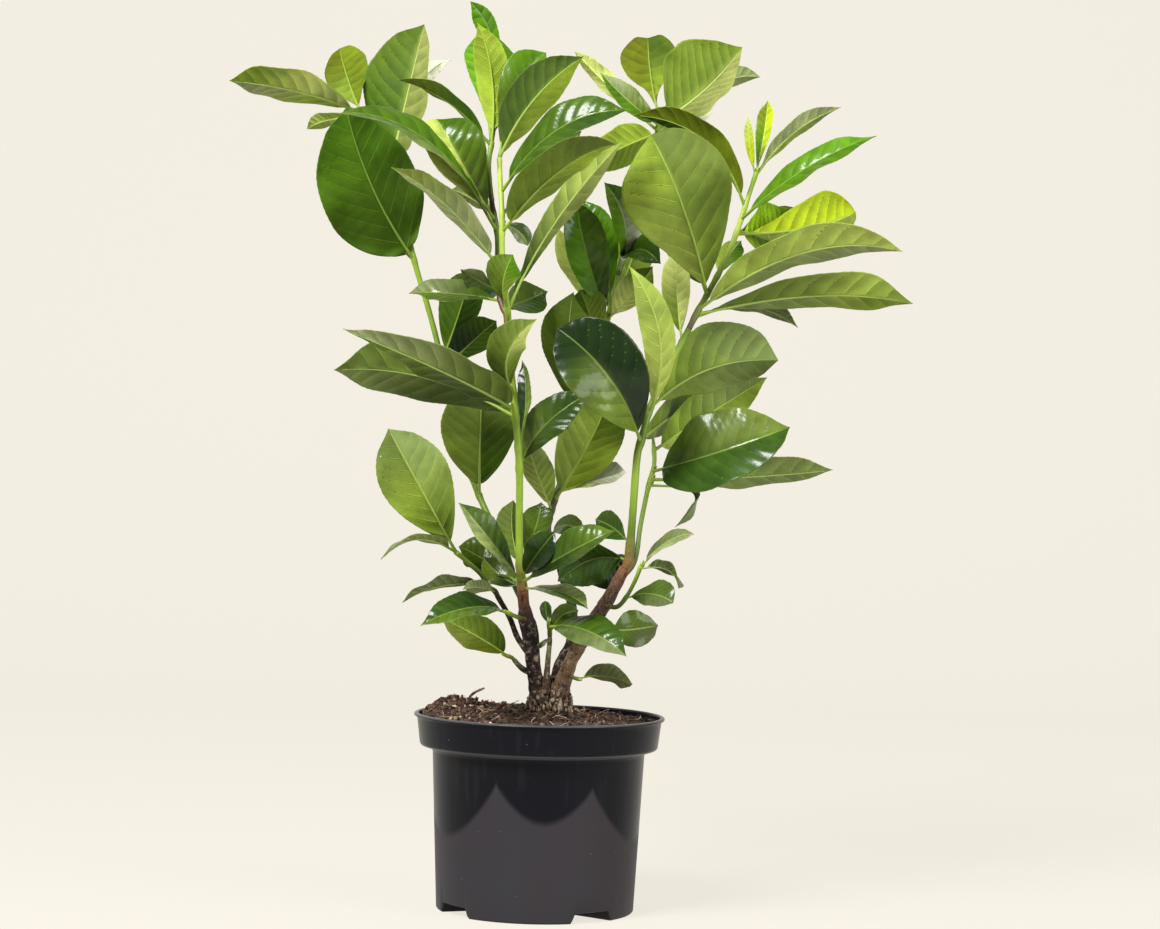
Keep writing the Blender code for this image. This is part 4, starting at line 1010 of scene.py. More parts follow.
def add_collars(skin, parent, names, finish):
    """The short swellings on a stem that its side shoots grow from."""
    for name, (grown_from, bud, _) in SHOOTS.items():
        if grown_from == parent and bud:
            line = trimmed(stem_line(name, STEM_STEP), 0.0, bud)
            line[:, 3] *= np.interp(np.arange(len(line)), [0, len(line) - 1], [BUD_SWELL + 0.15, BUD_SWELL])
            add_tube(skin, line, STEM_SIDES, finish, tone_run(names, len(line)))


def make_shoot(name, finishes, looks):
    """A leafy shoot: its stem, swollen where each leaf grows, its leaves and their buds."""
    skin = Skin()
    rooting = stem_line(name, ROOTING_STEP)
    bud = SHOOTS[name][1]
    line = trimmed(stem_line(name, STEM_STEP), max(0.0, bud - 1.0))
    leaves = [Leaf(rooting, row, BLUNT.get((name, i))) for i, row in enumerate(LEAVES[name])]
    away = np.min([np.linalg.norm(line[:, :3] - leaf.root, axis=1) for leaf in leaves], axis=0)
    line[:, 3] *= 1 + NODE_SWELL * np.exp(-((away / NODE_LENGTH) ** 2))
    add_tube(skin, line, STEM_SIDES, STEM, tone_run(STEM_TONES[name], len(line)), stem_relief)
    add_collars(skin, name, STEM_TONES[name][-2:], STEM)
    direction = unit(np.gradient(line[:, :3], axis=0))
    for leaf, names in zip(leaves, BLADE_TONES[name]):
        add_leaf(skin, leaf, names, looks.quilt)
        near = np.argmin(np.linalg.norm(line[:, :3] - leaf.root, axis=1))
        out = unit(leaf.control - leaf.root)
        foot = leaf.root + out * line[near, 3] * 0.8 + direction[near] * 0.8
        add_bud(skin, foot, out * 0.7 + direction[near], *SIDE_BUD, ("cane_dark", "scar"))
    add_bud(skin, line[-1, :3], direction[-1], *TIP_BUD, ("cane", "cane_pale"))
    return skin.object(name + "_fine", finishes)


def stem_relief(points):
    """A fine grain over a broader unevenness."""
    return 0.07 * noise(points, 2.4) + 0.1 * noise(points, 9.0, 1)


def bark_relief(points):
    """Furrows, drawn out along the height, over broader knobs."""
    drawn = points * [1.0, 1.0, 0.4]
    return 0.4 * noise(drawn, 1.7) + 0.45 * noise(points, 4.5, 1) + 0.5 * noise(points, 11.0, 2)


def valleys(turn):
    """How deep the crown's foot dips at a turn a round its axis: |cos 2.5 a|^3, 1 between two lobes."""
    return np.abs(np.cos(LOBES / 2 * turn)) ** 3


def crown_relief(points):
    """Bark over a foot whose radius r is lobed: r (1 - 0.16 |cos 2.5 a|^3), for the turn a round its axis."""
    x, y = points[..., 0] - CROWN_AXIS[0], points[..., 1] - CROWN_AXIS[1]
    return 2.2 * bark_relief(points) - 0.5 - LOBE_DEPTH * np.hypot(x, y) * valleys(np.arctan2(x, -y))


def foot_radius(height):
    """The radius of the crown's foot at each height, from its profile."""
    return np.interp(height, [z for _, z in CROWN_PROFILE], [r for r, _ in CROWN_PROFILE])


def make_crown(finishes, looks):
    """The woody crown: its foot and each trunk and twig, in rough bark."""
    skin = Skin()
    heights = np.arange(CROWN_PROFILE[0][1], CROWN_PROFILE[-1][1], FOOT_STEP)
    across, deep = np.full((2, len(heights)), np.array(CROWN_AXIS)[:, None])
    line = np.column_stack([across, deep, heights, foot_radius(heights)])
    tones = tone_run(("bark_black", "bark_black", "bark_dark", "bark", "bark_dark", "bark"), len(line))
    add_tube(skin, line, FOOT_SIDES, ONLY, tones, crown_relief)
    for name in WOOD:
        line = stem_line(name, WOOD_STEP)
        sides, size = (WOOD_SIDES, 0.75) if name.startswith("trunk") else (STEM_SIDES, 0.35)
        tones = tone_run(STEM_TONES[name], len(line))
        add_tube(skin, line, sides, ONLY, tones, lambda p, size=size: size * bark_relief(p))
        add_collars(skin, name, ("bark_dark", "scar"), ONLY)
    add_chips(skin, looks.chips, np.random.default_rng(SEED))
    return skin.object("crown_fine", finishes)


def add_lumps(skin, places, size, stretch, tones, draws):
    """Rough lumps, one at each place: icosahedra with each corner and each axis drawn out at random."""
    corner = draws.uniform(0.6, 1.25, (len(places), len(ICO_POINTS), 1))
    axis = draws.uniform(0.45, 1.35, (len(places), 1, 3)) * stretch
    points = places[:, None] + ICO_POINTS * corner * axis * size[:, None, None]
    faces = ICO_FACES[None] + (np.arange(len(places)) * len(ICO_POINTS))[:, None, None]
    skin.add(points, faces.reshape(-1, 3), ONLY, np.repeat(tones, len(ICO_POINTS), axis=0))


def drawn_tones(shares, count, draws):
    """Tones for this many places, drawn at random by each tone's share."""
    tones = np.array([tone(name) for name in shares])
    return tones[draws.choice(len(shares), count, p=list(shares.values()))]


def add_chips(skin, count, draws):
    """Upright chips of bark over the crown's foot, at r (1 - 0.13 |cos 2.5 a|^3) from its axis."""
    height = draws.uniform(CHIPS_FROM, CROWN_PROFILE[-1][1], count)
    turn = draws.uniform(0, 2 * np.pi, count)
    radius = foot_radius(height) * (1 - CHIP_DEPTH * valleys(turn))
    x = CROWN_AXIS[0] + radius * np.sin(turn)
    y = CROWN_AXIS[1] - radius * np.cos(turn)
    tones = drawn_tones(CHIP_TONES, count, draws)
    size = draws.uniform(*CHIP_SIZES, count)
    add_lumps(skin, np.column_stack([x, y, height]), size, (0.9, 0.9, 2.0), tones, draws)


def peat_height(x, y):
    """The peat's surface: a level, a few broad heaps, small lumps from sines and three sizes of crumbling."""
    height = np.full_like(x, PEAT_LEVEL)
    for heap_x, heap_y, tall, wide, deep in PEAT_HEAPS:
        height += tall * np.exp(-(((x - heap_x) / wide) ** 2) - ((y - heap_y) / deep) ** 2)
    lumps = np.sin(0.31 * x + 1.3) * np.sin(0.27 * y + 0.4) + 0.7 * np.sin(0.55 * x - 0.38 * y)
    flat = np.stack([x, y, np.zeros_like(x)], axis=-1)
    crumbled = 1.3 * noise(flat, 7.0) + 1.0 * noise(flat, 3.2, 1) + 0.6 * noise(flat, 1.5, 2)
    return height + PEAT_LUMP * lumps + crumbled


def crumbs(count, draws):
    """Places for up to this many crumbs: even over the peat's disc, but for a share on the left heap."""
    angle = draws.uniform(0, 2 * np.pi, count)
    radius = PEAT_EDGE * np.sqrt(draws.uniform(0.0, 1.0, count))
    x, y = radius * np.cos(angle), radius * np.sin(angle)
    heaped = draws.uniform(0, 1, count) < HEAPED_SHARE
    x = np.where(heaped, np.clip(draws.normal(HEAPED_PLACE[0], HEAPED_SPREAD[0], count), -PEAT_EDGE, 0), x)
    y = np.where(heaped, draws.normal(HEAPED_PLACE[1], HEAPED_SPREAD[1], count), y)
    inside = np.hypot(x, y) < PEAT_EDGE
    return x[inside], y[inside]


def peat_rings():
    """The peat's rings: out over the pot's floor, up its wall, and in over the crumbled top.

    The lowest rings rise over the drain channels, and the top's rings close in on the crown's axis."""
    angle = np.linspace(0, 2 * np.pi, PEAT_COLUMNS, endpoint=False)
    circle = np.stack([np.cos(angle), np.sin(angle)], axis=1)
    channel = channel_share(np.arctan2(circle[:, 0], -circle[:, 1]))
    inset = POT_WALL + PEAT_GAP
    low = POT_FLOOR + PEAT_GAP
    rings = []
    for radius in (1.0, NOTCH_INNER_END - 1, NOTCH_INNER_END + 1, FOOT[0] - inset):
        lifted = (NOTCH_ZONE - low) * channel * (radius > NOTCH_INNER_END)
        rings.append(np.column_stack([circle * radius, low + lifted]))
    for corner, height in zip((STEP_FOOT, BAND_FOOT), INNER_STEP):
        rings.append(np.column_stack([circle * (corner[0] - inset), np.full(len(angle), height + PEAT_GAP)]))
    for radius in (PEAT_RIM, PEAT_RIM - 0.6, *np.linspace(PEAT_RIM - 1.6, 2.0, PEAT_TOP_RINGS)):
        x, y = (circle * radius + np.array(CROWN_AXIS) * (1 - radius / PEAT_RIM)).T
        rings.append(np.column_stack([x, y, peat_height(x, y)]))
    return np.stack(rings)


def add_crumbs(skin, count, draws):
    """Loose crumbs on the peat, most of them small."""
    x, y = crumbs(count, draws)
    size = np.minimum(draws.gamma(1.5, 0.42, len(x)) + 0.3, LARGEST_CRUMB)
    centre = np.column_stack([x, y, peat_height(x, y) + 0.35 * size])
    tones = drawn_tones(CRUMB_TONES, len(x), draws) * draws.uniform(0.55, 1.15, (len(x), 1))
    add_lumps(skin, centre, size, (1.0, 1.0, 1.0), tones, draws)


def add_fibre(skin, draws):
    """One loose fibre: a tube along a bowed line, y = b x^2, that rises from the peat to one end."""
    turn = draws.uniform(0, 2 * np.pi)
    far = (PEAT_EDGE - 4) * math.sqrt(draws.uniform())
    heading = draws.uniform(0, 2 * np.pi)
    step = np.linspace(-0.5, 0.5, FIBRE_POINTS) * draws.uniform(4, 13)
    bow = draws.uniform(-0.12, 0.12) * step**2
    x = far * math.cos(turn) + step * math.cos(heading) - bow * math.sin(heading)
    y = far * math.sin(turn) + step * math.sin(heading) + bow * math.cos(heading)
    ground = peat_height(x, y)
    rise = np.linspace(0.2, 4.5 * draws.uniform(0.2, 1.0) ** 2, FIBRE_POINTS)
    radius = np.full(FIBRE_POINTS, draws.uniform(0.15, 0.4))
    tones = drawn_tones(FIBRE_TONES, 1, draws)
    if np.hypot(x, y).max() < PEAT_EDGE:
        line = np.column_stack([x, y, (ground + ground.max()) / 2 + rise, radius])
        add_tube(skin, line, FIBRE_SIDES, ONLY, tones)


def make_peat(finish, looks):
    """The peat: its rings, closed below and above, with loose crumbs, fibres and pale chips on them."""
    draws = np.random.default_rng(SEED)
    rings = peat_rings()
    ends = np.array([[0, 0, POT_FLOOR + PEAT_GAP], rings[-1].mean(axis=0)])
    blotch = smoothstep(-0.5, 0.6, noise(rings, 5.0, 4))[..., None]
    tones = tone("peat_dark") * (1 - blotch) + tone("peat") * blotch
    points = np.concatenate([rings.reshape(-1, 3), ends])
    tones = np.concatenate([tones.reshape(-1, 3), np.broadcast_to(tone("peat_dark"), (2, 3))])
    skin = Skin()
    skin.add(points, grid_faces(len(rings), PEAT_COLUMNS, True), ONLY, tones)
    skin.join(poles(len(rings), PEAT_COLUMNS), ONLY)
    add_crumbs(skin, looks.crumbs, draws)
    for _ in range(looks.fibres):
        add_fibre(skin, draws)
    return skin.object("peat_fine", [finish])


def rounded(profile, radius, steps):
    """A profile whose inner corners are replaced by quadratic curves that start this far from each corner."""
    points = np.array(profile, float)
    out = [points[:1]]
    for before, corner, after in zip(points[:-2], points[1:-1], points[2:]):
        near = corner + unit(before - corner) * min(radius, np.linalg.norm(before - corner) * 0.45)
        far = corner + unit(after - corner) * min(radius, np.linalg.norm(after - corner) * 0.45)
        t = np.linspace(0, 1, steps)[:, None]
        out.append((1 - t) ** 2 * near + 2 * t * (1 - t) * corner + t**2 * far)
    out.append(points[-1:])
    return np.concatenate(out)


def channel_share(turn):
    """1 over each drain channel of the foot and 0 beside it, by a smoothstep of the turn from its middle."""
    share = np.zeros_like(turn)
    half = math.asin(NOTCH_WIDTH / 2 / FOOT[0])
    for middle in np.radians(NOTCH_TURNS):
        away = np.abs((turn - middle + np.pi) % (2 * np.pi) - np.pi)
        share = np.maximum(share, 1 - smoothstep(half - CHANNEL_SLANT, half + CHANNEL_SLANT, away))
    return share


def pot_profile():
    """The pot's radii and heights, from under the floor up outside, over the lip and down inside.

    Its corners are rounded, and its long straight runs are cut up evenly."""
    outside = [(2.0, 0.0), (NOTCH_INNER_END - 1, 0.0), (NOTCH_INNER_END + 1, 0.0), *POT_OUTSIDE[::-1]]
    inside = [
        (BAND_TOP[0] - POT_WALL + 0.25, LIP[1]),
        (BAND_TOP[0] - POT_WALL, BAND_TOP[1]),
        (BAND_FOOT[0] - POT_WALL, INNER_STEP[1]),
        (STEP_FOOT[0] - POT_WALL, INNER_STEP[0]),
        (FOOT[0] - POT_WALL, POT_FLOOR),
        (NOTCH_INNER_END + 1, POT_FLOOR),
        (NOTCH_INNER_END - 1, POT_FLOOR),
        (2.0, POT_FLOOR),
    ]
    profile = rounded(outside + inside, POT_CORNER, CORNER_STEPS)
    whole = np.arange(len(profile))
    long_runs = np.nonzero(np.linalg.norm(np.diff(profile, axis=0), axis=1) > LONG_RUN)[0]
    cuts = (long_runs[:, None] + np.arange(1, RUN_CUTS) / RUN_CUTS).ravel()
    places = np.sort(np.concatenate([whole, cuts]))
    return np.stack([np.interp(places, whole, column) for column in profile.T])


def make_pot(finish):
    """The moulded pot: a profile turned about the axis, (r sin a, -r cos a, z).

    Its lowest rows are raised over each drain channel by a smoothstep of the turn from its middle."""
    radius, height = pot_profile()
    turn = np.radians(np.arange(POT_COLUMNS) * 360 / POT_COLUMNS)
    notch = channel_share(turn)
    top = np.argmax(height)
    floor = np.where(np.arange(len(height)) > top, POT_FLOOR, 0.0)
    roof = NOTCH_HEIGHT + np.where(floor > 0, POT_WALL, 0.0)
    share = np.clip((height - floor) / (NOTCH_ZONE - floor), 0, 1)
    raised = np.where(share < 1, roof + (NOTCH_ZONE - roof) * share, height)
    raised = np.where(radius > NOTCH_INNER_END, raised, height)
    z = height[:, None] * (1 - notch) + raised[:, None] * notch
    x, y = radius[:, None] * np.sin(turn), -radius[:, None] * np.cos(turn)
    points = np.concatenate([np.stack([x, y, z], axis=-1).reshape(-1, 3), [[0, 0, 0], [0, 0, POT_FLOOR]]])
    skin = Skin()
    skin.add(points, grid_faces(len(height), POT_COLUMNS, True), ONLY, tone("bark_black"))
    skin.join(poles(len(height), POT_COLUMNS), ONLY)
    pot = skin.object("pot_fine", [finish])
    drill_drains(pot)
    pot.data.set_sharp_from_angle(angle=math.radians(SHARP_TURN))
    return pot


def drill_drains(pot):
    """Cuts a round drain hole through the roof of each drain channel."""
    drills = Skin()
    for turn in np.radians(NOTCH_TURNS):
        x, y = DRAIN_PLACE * math.sin(turn), -DRAIN_PLACE * math.cos(turn)
        line = np.array([(x, y, height, DRAIN_RADIUS) for height in DRAIN_SPAN])
        add_tube(drills, line, DRAIN_SIDES, ONLY, tone("bark_black"))
    drill = drills.object("drains", [])
    cut = pot.modifiers.new("drains", "BOOLEAN")
    cut.operation, cut.solver, cut.object = "DIFFERENCE", "EXACT", drill
    solid = pot.data
    pot.data = bpy.data.meshes.new_from_object(pot.evaluated_get(bpy.context.evaluated_depsgraph_get()))
    pot.modifiers.remove(cut)
    bpy.data.objects.remove(drill)
    bpy.data.meshes.remove(solid)


def make_twig(finishes):
    """The loose twig that stands in the peat."""
    skin = Skin()
    line = smooth_line(stem_rows(LOOSE_TWIG), TWIG_STEP)
    tones = tone_run(STEM_TONES["loose_twig"], len(line))
    add_tube(skin, line, TWIG_SIDES, ONLY, tones, lambda p: 0.3 * bark_relief(p))
    return skin.object("loose_twig_fine", finishes)


class Wire:
    """A number that a material works out, on which Python's arithmetic adds Math nodes."""

    def __init__(self, recipe, socket):
        self.recipe, self.socket = recipe, socket

    def math(self, operation, *others):
        """A Math node on this number and any others."""
        return self.recipe.node("Math", {"operation": operation}, (self, *others))

    def after(self, operation, first):
        """A Math node on another number and this one, in that order."""
        return self.recipe.node("Math", {"operation": operation}, (first, self))

    def __add__(self, other):
        return self.math("ADD", other)

    def __sub__(self, other):
        return self.math("SUBTRACT", other)

    def __rsub__(self, other):
        return self.after("SUBTRACT", other)

    def __mul__(self, other):
        return self.math("MULTIPLY", other)

    def __pow__(self, other):
        return self.math("POWER", other)

    def __rpow__(self, other):
        return self.after("POWER", other)

    def __abs__(self):
        return self.math("ABSOLUTE")

    __radd__, __rmul__ = __add__, __mul__

    def most(self, other):
        """The larger of this number and another."""
        return self.math("MAXIMUM", other)

    def part(self, low, high):
        """0 at low and 1 at high, by a smoothstep between them. High may be the lower number."""
        values = {"Value": self, "From Min": low, "From Max": high}
        return self.recipe.node("MapRange", {"interpolation_type": "SMOOTHSTEP"}, values)


class Recipe:
    """A material's nodes."""

    def __init__(self, name):
        self.material = bpy.data.materials.new(name)
        self.material.use_nodes = True
        self.tree = self.material.node_tree
        self.shader = self.tree.nodes["Principled BSDF"]

    def node(self, kind, settings=None, values=(), out=0):
        """A new node: its settings come first, then the values or links of its inputs, by place or name."""
        made = self.tree.nodes.new("ShaderNode" + kind)
        for key, value in (settings or {}).items():
            setattr(made, key, value)
        pairs = values.items() if isinstance(values, dict) else enumerate(values)
        for key, value in pairs:
            self.feed(made.inputs[key], value)
        return Wire(self, made.outputs[out])

    def feed(self, socket, value):
        """Links a socket to a wire, or sets it to a value."""
        if isinstance(value, Wire):
            self.tree.links.new(value.socket, socket)
        else:
            socket.default_value = value

    def place(self):
        """The point's own place, in metres."""
        return self.node("TexCoord", out="Object")

    def map(self, name):
        """The two numbers of a UV map."""
        return self.parts(self.node("UVMap", {"uv_map": name}))[:2]

    def parts(self, vector):
        """The three numbers of a vector."""
        split = self.node("SeparateXYZ", values=(vector,))
        return [Wire(self, socket) for socket in split.socket.node.outputs]

    def tone(self):
        """The colour that the mesh carries at each point."""
        return self.node("Attribute", {"attribute_name": "tone"}, out="Color")

    def noise(self, where, scale, detail=2.0, roughness=0.5):
        """Soft noise about 0.5, finer with a larger scale and rougher with more detail."""
        values = {"Vector": where, "Scale": scale, "Detail": detail, "Roughness": roughness}
        return self.node("TexNoise", values=values)

    def cells(self, where, scale, feature="F1"):
        """The distance to the nearest cell's middle, or by another feature to its edge."""
        return self.node("TexVoronoi", {"feature": feature}, {"Vector": where, "Scale": scale})

    def stretched(self, where, scale):
        """The place with each axis scaled: a small number draws a pattern out along its axis."""
        return self.node("VectorMath", {"operation": "MULTIPLY"}, (where, scale))

    def mix(self, share, a, b):
        """Colour a turned into colour b by a share."""
        return self.node("Mix", {"data_type": "RGBA"}, {0: share, 6: a, 7: b}, 2)

    def scaled(self, colour, number):
        """A colour made lighter or darker."""
        return self.node("VectorMath", {"operation": "SCALE"}, {0: colour, "Scale": number})

    def bump(self, height, depth, strength):
        """A normal for relief of this depth, in metres."""
        return self.node("Bump", values={"Height": height, "Distance": depth, "Strength": strength})

    def finish(self, **inputs):
        """Feeds the shader's inputs, named with _ for a space."""
        for key, value in inputs.items():
            self.feed(self.shader.inputs[key.replace("_", " ").title().replace("Ior", "IOR")], value)
        return self.material


def opaque(colour):
    """A colour with full alpha, as sockets take it."""
    return (*(float(x) for x in colour), 1.0)


def veins_of(recipe, where):
    """The shares of side vein, midrib and edge at a point of a blade, and a painted shade between the side
    veins.

    The painted shade stands in for the relief between the side veins, lit from one side: it rises from each
    side vein to the next by f^1.6 - 0.4, for f from 0 to 1 between them. The map named share counts the
    veins, which wander a little and fade out at the blade's edge and tip."""
    phase, s = recipe.map("share")
    _, across = recipe.map("plan")
    side = abs(s)
    wander = recipe.noise(where, 90.0) - 0.5
    count = phase + wander * 0.14
    away = abs(count.math("FRACT") - 0.5)
    inside = side.part(0.05, 0.12) * side.part(1.0, 0.6) * phase.part(9.2, 7.6)
    vein = (away + side * 0.02).part(0.07, 0.01) * inside
    rib = abs(across).part(0.085, 0.03) * phase.part(9.4, 7.5)
    edge = side.part(0.955, 0.995)
    between = (count + 0.5).math("FRACT")
    sweep = (between**1.6 - 0.4) * side.part(0.02, 0.1) * side.part(1.0, 0.7) * phase.part(9.2, 7.2)
    return vein, rib, edge, sweep


def upper_skin(looks):
    """A leaf's upper side: waxy and dark, with a pale midrib, faint side veins and a fine grain."""
    recipe = Recipe("leaf_upper")
    where = recipe.place()
    vein, rib, edge, sweep = veins_of(recipe, where)
    mottle = recipe.noise(where, 85.0, 3.0)
    grain = recipe.cells(where, 1500.0)
    # sweep paints shade between the side veins into the colour, and in the height it is real relief
    shade = mottle * 0.9 + 0.5 + grain * 0.12 + sweep * 0.26
    colour = recipe.scaled(recipe.tone(), shade * looks.upper_strength)
    pale = recipe.mix(0.5, recipe.scaled(recipe.tone(), 1.9), opaque(tone("rib")))
    colour = recipe.mix(vein * 0.4, colour, recipe.scaled(recipe.tone(), 1.6))
    colour = recipe.mix((rib * 0.6).most(edge * 0.25), colour, pale)
    height = vein * -0.6 + sweep * 0.9 + grain * 0.22 + recipe.noise(where, 420.0, 2.0) * 0.5
    return recipe.finish(
        base_color=colour,
        roughness=mottle * 0.16 + looks.upper_roughness - 0.04,
        coat_weight=looks.wax,
        coat_roughness=0.19,
        specular_ior_level=looks.upper_gleam,
        normal=recipe.bump(height, 0.0002, 0.6),
    )


def under_skin(looks):
    """A leaf's under side: matt and pale, with raised pale side veins and a fine net between them."""
    recipe = Recipe("leaf_under")
    where = recipe.place()
    vein, rib, edge, sweep = veins_of(recipe, where)
    mottle = recipe.noise(where, 70.0, 3.0)
    net = recipe.cells(where, 620.0, "DISTANCE_TO_EDGE").part(0.12, 0.0)
    # sweep paints shade between the side veins into the colour, and in the height it is real relief
    shade = mottle * 0.8 + 0.6 - net * 0.1 + sweep * 0.42
    colour = recipe.scaled(recipe.tone(), shade * looks.under_strength)
    pale = recipe.scaled(recipe.tone(), 1.7)
    colour = recipe.mix(vein * 0.62, colour, pale)
    colour = recipe.mix((rib * 0.4).most(edge * 0.2), colour, pale)
    height = vein * 1.1 + sweep * 1.8 + net * 0.2 + recipe.noise(where, 300.0) * 0.4
    return recipe.finish(
        base_color=colour,
        roughness=mottle * 0.14 + looks.under_roughness - 0.07,
        specular_ior_level=looks.under_gleam,
        normal=recipe.bump(height, 0.0004, 0.8),
    )


def green_skin(looks):
    """A green stem or stalk: streaked along its length, with small pale breathing pores."""
    recipe = Recipe("stem_skin")
    where = recipe.place()
    streak = recipe.noise(recipe.stretched(where, (1.0, 1.0, 0.12)), 900.0, 3.0)
    pore = recipe.cells(recipe.stretched(where, (1.0, 1.0, 0.5)), 330.0).part(0.16, 0.05)
    colour = recipe.scaled(recipe.tone(), (streak * 0.5 + 0.75) * looks.stem_strength)
    colour = recipe.mix(pore * 0.35, colour, opaque(tone("cane_pale")))
    return recipe.finish(
        base_color=colour,
        roughness=streak * 0.2 + 0.36,
        specular_ior_level=0.4,
        normal=recipe.bump(streak + pore * 0.4, 0.0002, 0.5),
    )


def bark_skin(looks):
    """Bark: dark cracks along the wood, a coarse grain, and grey flaking patches, most at the foot."""
    recipe = Recipe("bark")
    where = recipe.place()
    tall = recipe.stretched(where, (1.0, 1.0, 0.35))
    crack = recipe.noise(tall, 520.0, 5.0, 0.65).part(0.46, 0.3)
    flake = recipe.noise(where, 190.0, 5.0, 0.75).part(0.5, 0.6)
    grain = recipe.noise(tall, 1300.0, 3.0, 0.7)
    colour = recipe.scaled(recipe.tone(), grain * 1.1 + 0.45)
    _, _, z = recipe.parts(where)
    flaking = z.part(*FLAKES_FROM) * looks.flaking + looks.speckling
    colour = recipe.mix(flake * flaking, colour, opaque(tone("ash")))
    colour = recipe.mix(crack * 0.8, colour, opaque(tone("bark_black")))
    height = grain * 0.6 - crack + flake * 0.6
    return recipe.finish(
        base_color=colour,
        roughness=grain * 0.2 + 0.7,
        specular_ior_level=0.25,
        normal=recipe.bump(height, 0.001, 1.0),
    )


def peat_skin():
    """Peat: the tones of its crumbs, broken up by fine dark and light grains."""
    recipe = Recipe("peat")
    where = recipe.place()
    grain = recipe.noise(where, 900.0, 4.0, 0.7)
    lump = recipe.noise(where, 260.0, 3.0, 0.6)
    colour = recipe.scaled(recipe.tone(), grain * 1.5 + lump * 0.5)
    spot = recipe.cells(where, 420.0).part(0.16, 0.08) * recipe.noise(where, 130.0).part(0.5, 0.62)
    colour = recipe.mix(spot * 0.7, colour, opaque(tone("chip")))
    return recipe.finish(
        base_color=colour,
        roughness=0.92 - lump * 0.1,
        specular_ior_level=0.2,
        normal=recipe.bump(grain + lump, 0.0009, 1.0),
    )


def pot_skin(looks):
    """Black plastic: glossy and bluish above a scalloped line, and matt below it, where a grey painted
    reflection of the pale floor covers it, with dust and scuffs. Pale lines on the ledge and the rim are
    painted highlights, faint upright streaks above the line are painted reflections, and the hollow over the
    drain channels keeps the dark colour as painted shade.

    At the looks' defaults the line's height is 64 + 10 cos 2 a + 31 (1 - |cos 3 b|^0.8) mm, for the turn a
    round the axis and b = a + 0.061 sin 3 a - 0.085."""
    recipe = Recipe("pot_plastic")
    where = recipe.place()
    x, y, z = recipe.parts(where)
    turn = recipe.node("Math", {"operation": "ARCTAN2"}, (x, y * -1.0))
    bent = turn + (turn * 3.0).math("SINE") * 0.061 - 0.085
    lobe = abs((bent * 3.0).math("COSINE"))
    peaks = (1.0 - lobe**0.8) * (looks.line_wave * MM)
    line = peaks + (turn * 2.0).math("COSINE") * 0.01 + looks.line_height * MM
    # below: the share of the painted reflection of the pale floor, from the scalloped line down
    below = (z - line).part(0.0025, -0.004)
    ledge = z.part(*LEDGE_FROM) * z.part(*LEDGE_TO)
    rim = z.part(*RIM_FROM)
    haze = recipe.noise(recipe.stretched(where, (1.0, 1.0, 0.5)), 22.0, 2.0)
    dust = recipe.cells(where, 170.0).part(0.07, 0.03) * recipe.noise(where, 60.0).part(0.52, 0.6)
    upright = recipe.noise(recipe.stretched(where, (1.0, 1.0, 0.08)), 160.0, 2.0)
    # Painted reflections: faint pale upright streaks above the scalloped line
    streak = upright.part(0.58, 0.7) * (1.0 - below)
    scuff = recipe.noise(recipe.stretched(where, (1.0, 1.0, 9.0)), 120.0, 4.0, 0.7).part(0.68, 0.76)
    # The grey of the painted floor reflection, with warmer patches
    grey = recipe.mix(haze.part(0.35, 0.65), opaque(looks.foot), opaque(looks.warm_floor_reflection))
    colour = recipe.mix(below, opaque(looks.upper), grey)
    # Painted shade: inside the hollow over the drain channels the painted reflection gives way to the dark
    # upper colour
    hollow = ((x * x + y * y) ** 0.5).part(*HOLLOW_RADIUS) * z.part(*HOLLOW_HEIGHT)
    colour = recipe.mix(hollow, colour, opaque(looks.upper))
    # Real dust and scuffs, together with painted highlights on the ledge and the rim and the painted streaks
    dust_and_sheen = dust.most(scuff * 0.2).most(streak * 0.018).most(ledge * 0.3).most(rim * 0.3)
    colour = recipe.mix(dust_and_sheen, colour, opaque(tone("dust")))
    return recipe.finish(
        base_color=colour,
        roughness=below * 0.2 + looks.roughness + haze * 0.06,
        specular_ior_level=looks.gleam,
        normal=recipe.bump(recipe.noise(where, 700.0, 2.0) + haze * 3.0, 0.00004, 0.5),
    )


def cream_skin(looks):
    """The cream sweep, which glows a little so that it stays even."""
    recipe = Recipe("backdrop")
    cream = np.array(looks.cream)
    return recipe.finish(
        base_color=opaque(cream * looks.reflecting),
        emission_color=opaque(cream),
        emission_strength=looks.glow,
        roughness=1.0,
        specular_ior_level=0.0,
    )


def make_sweep(looks):
    """A strip of floor and wall joined by a quarter circle: (y, z) = (1800 + 500 sin a, 500 - 500 cos a)."""
    bend = np.radians(np.linspace(0, 90, 13))
    far, rise = SWEEP_REAR + SWEEP_BEND * np.sin(bend), SWEEP_BEND - SWEEP_BEND * np.cos(bend)
    y, z = np.array([(-SWEEP_FRONT, 0.0), *zip(far, rise), (SWEEP_REAR + SWEEP_BEND, SWEEP_TOP)]).T
    sides = (-SWEEP_HALF_WIDTH, SWEEP_HALF_WIDTH)
    points = np.stack([np.stack([np.full_like(y, x), y, z], axis=-1) for x in sides], axis=1)
    skin = Skin()
    skin.add(points, grid_faces(len(y), 2, False), ONLY, looks.cream)
    return skin.object("sweep", [cream_skin(looks)])


def area_light(name, place, size, power):
    """A soft square white light, at a place in metres and turned to face the middle."""
    lamp = bpy.data.lights.new(name, "AREA")
    lamp.size, lamp.energy = size, power
    made = bpy.data.objects.new(name, lamp)
    made.location = place
    made.rotation_euler = (Vector(MIDDLE) - Vector(place)).to_track_quat("-Z", "Y").to_euler()
    bpy.context.scene.collection.objects.link(made)
    return made


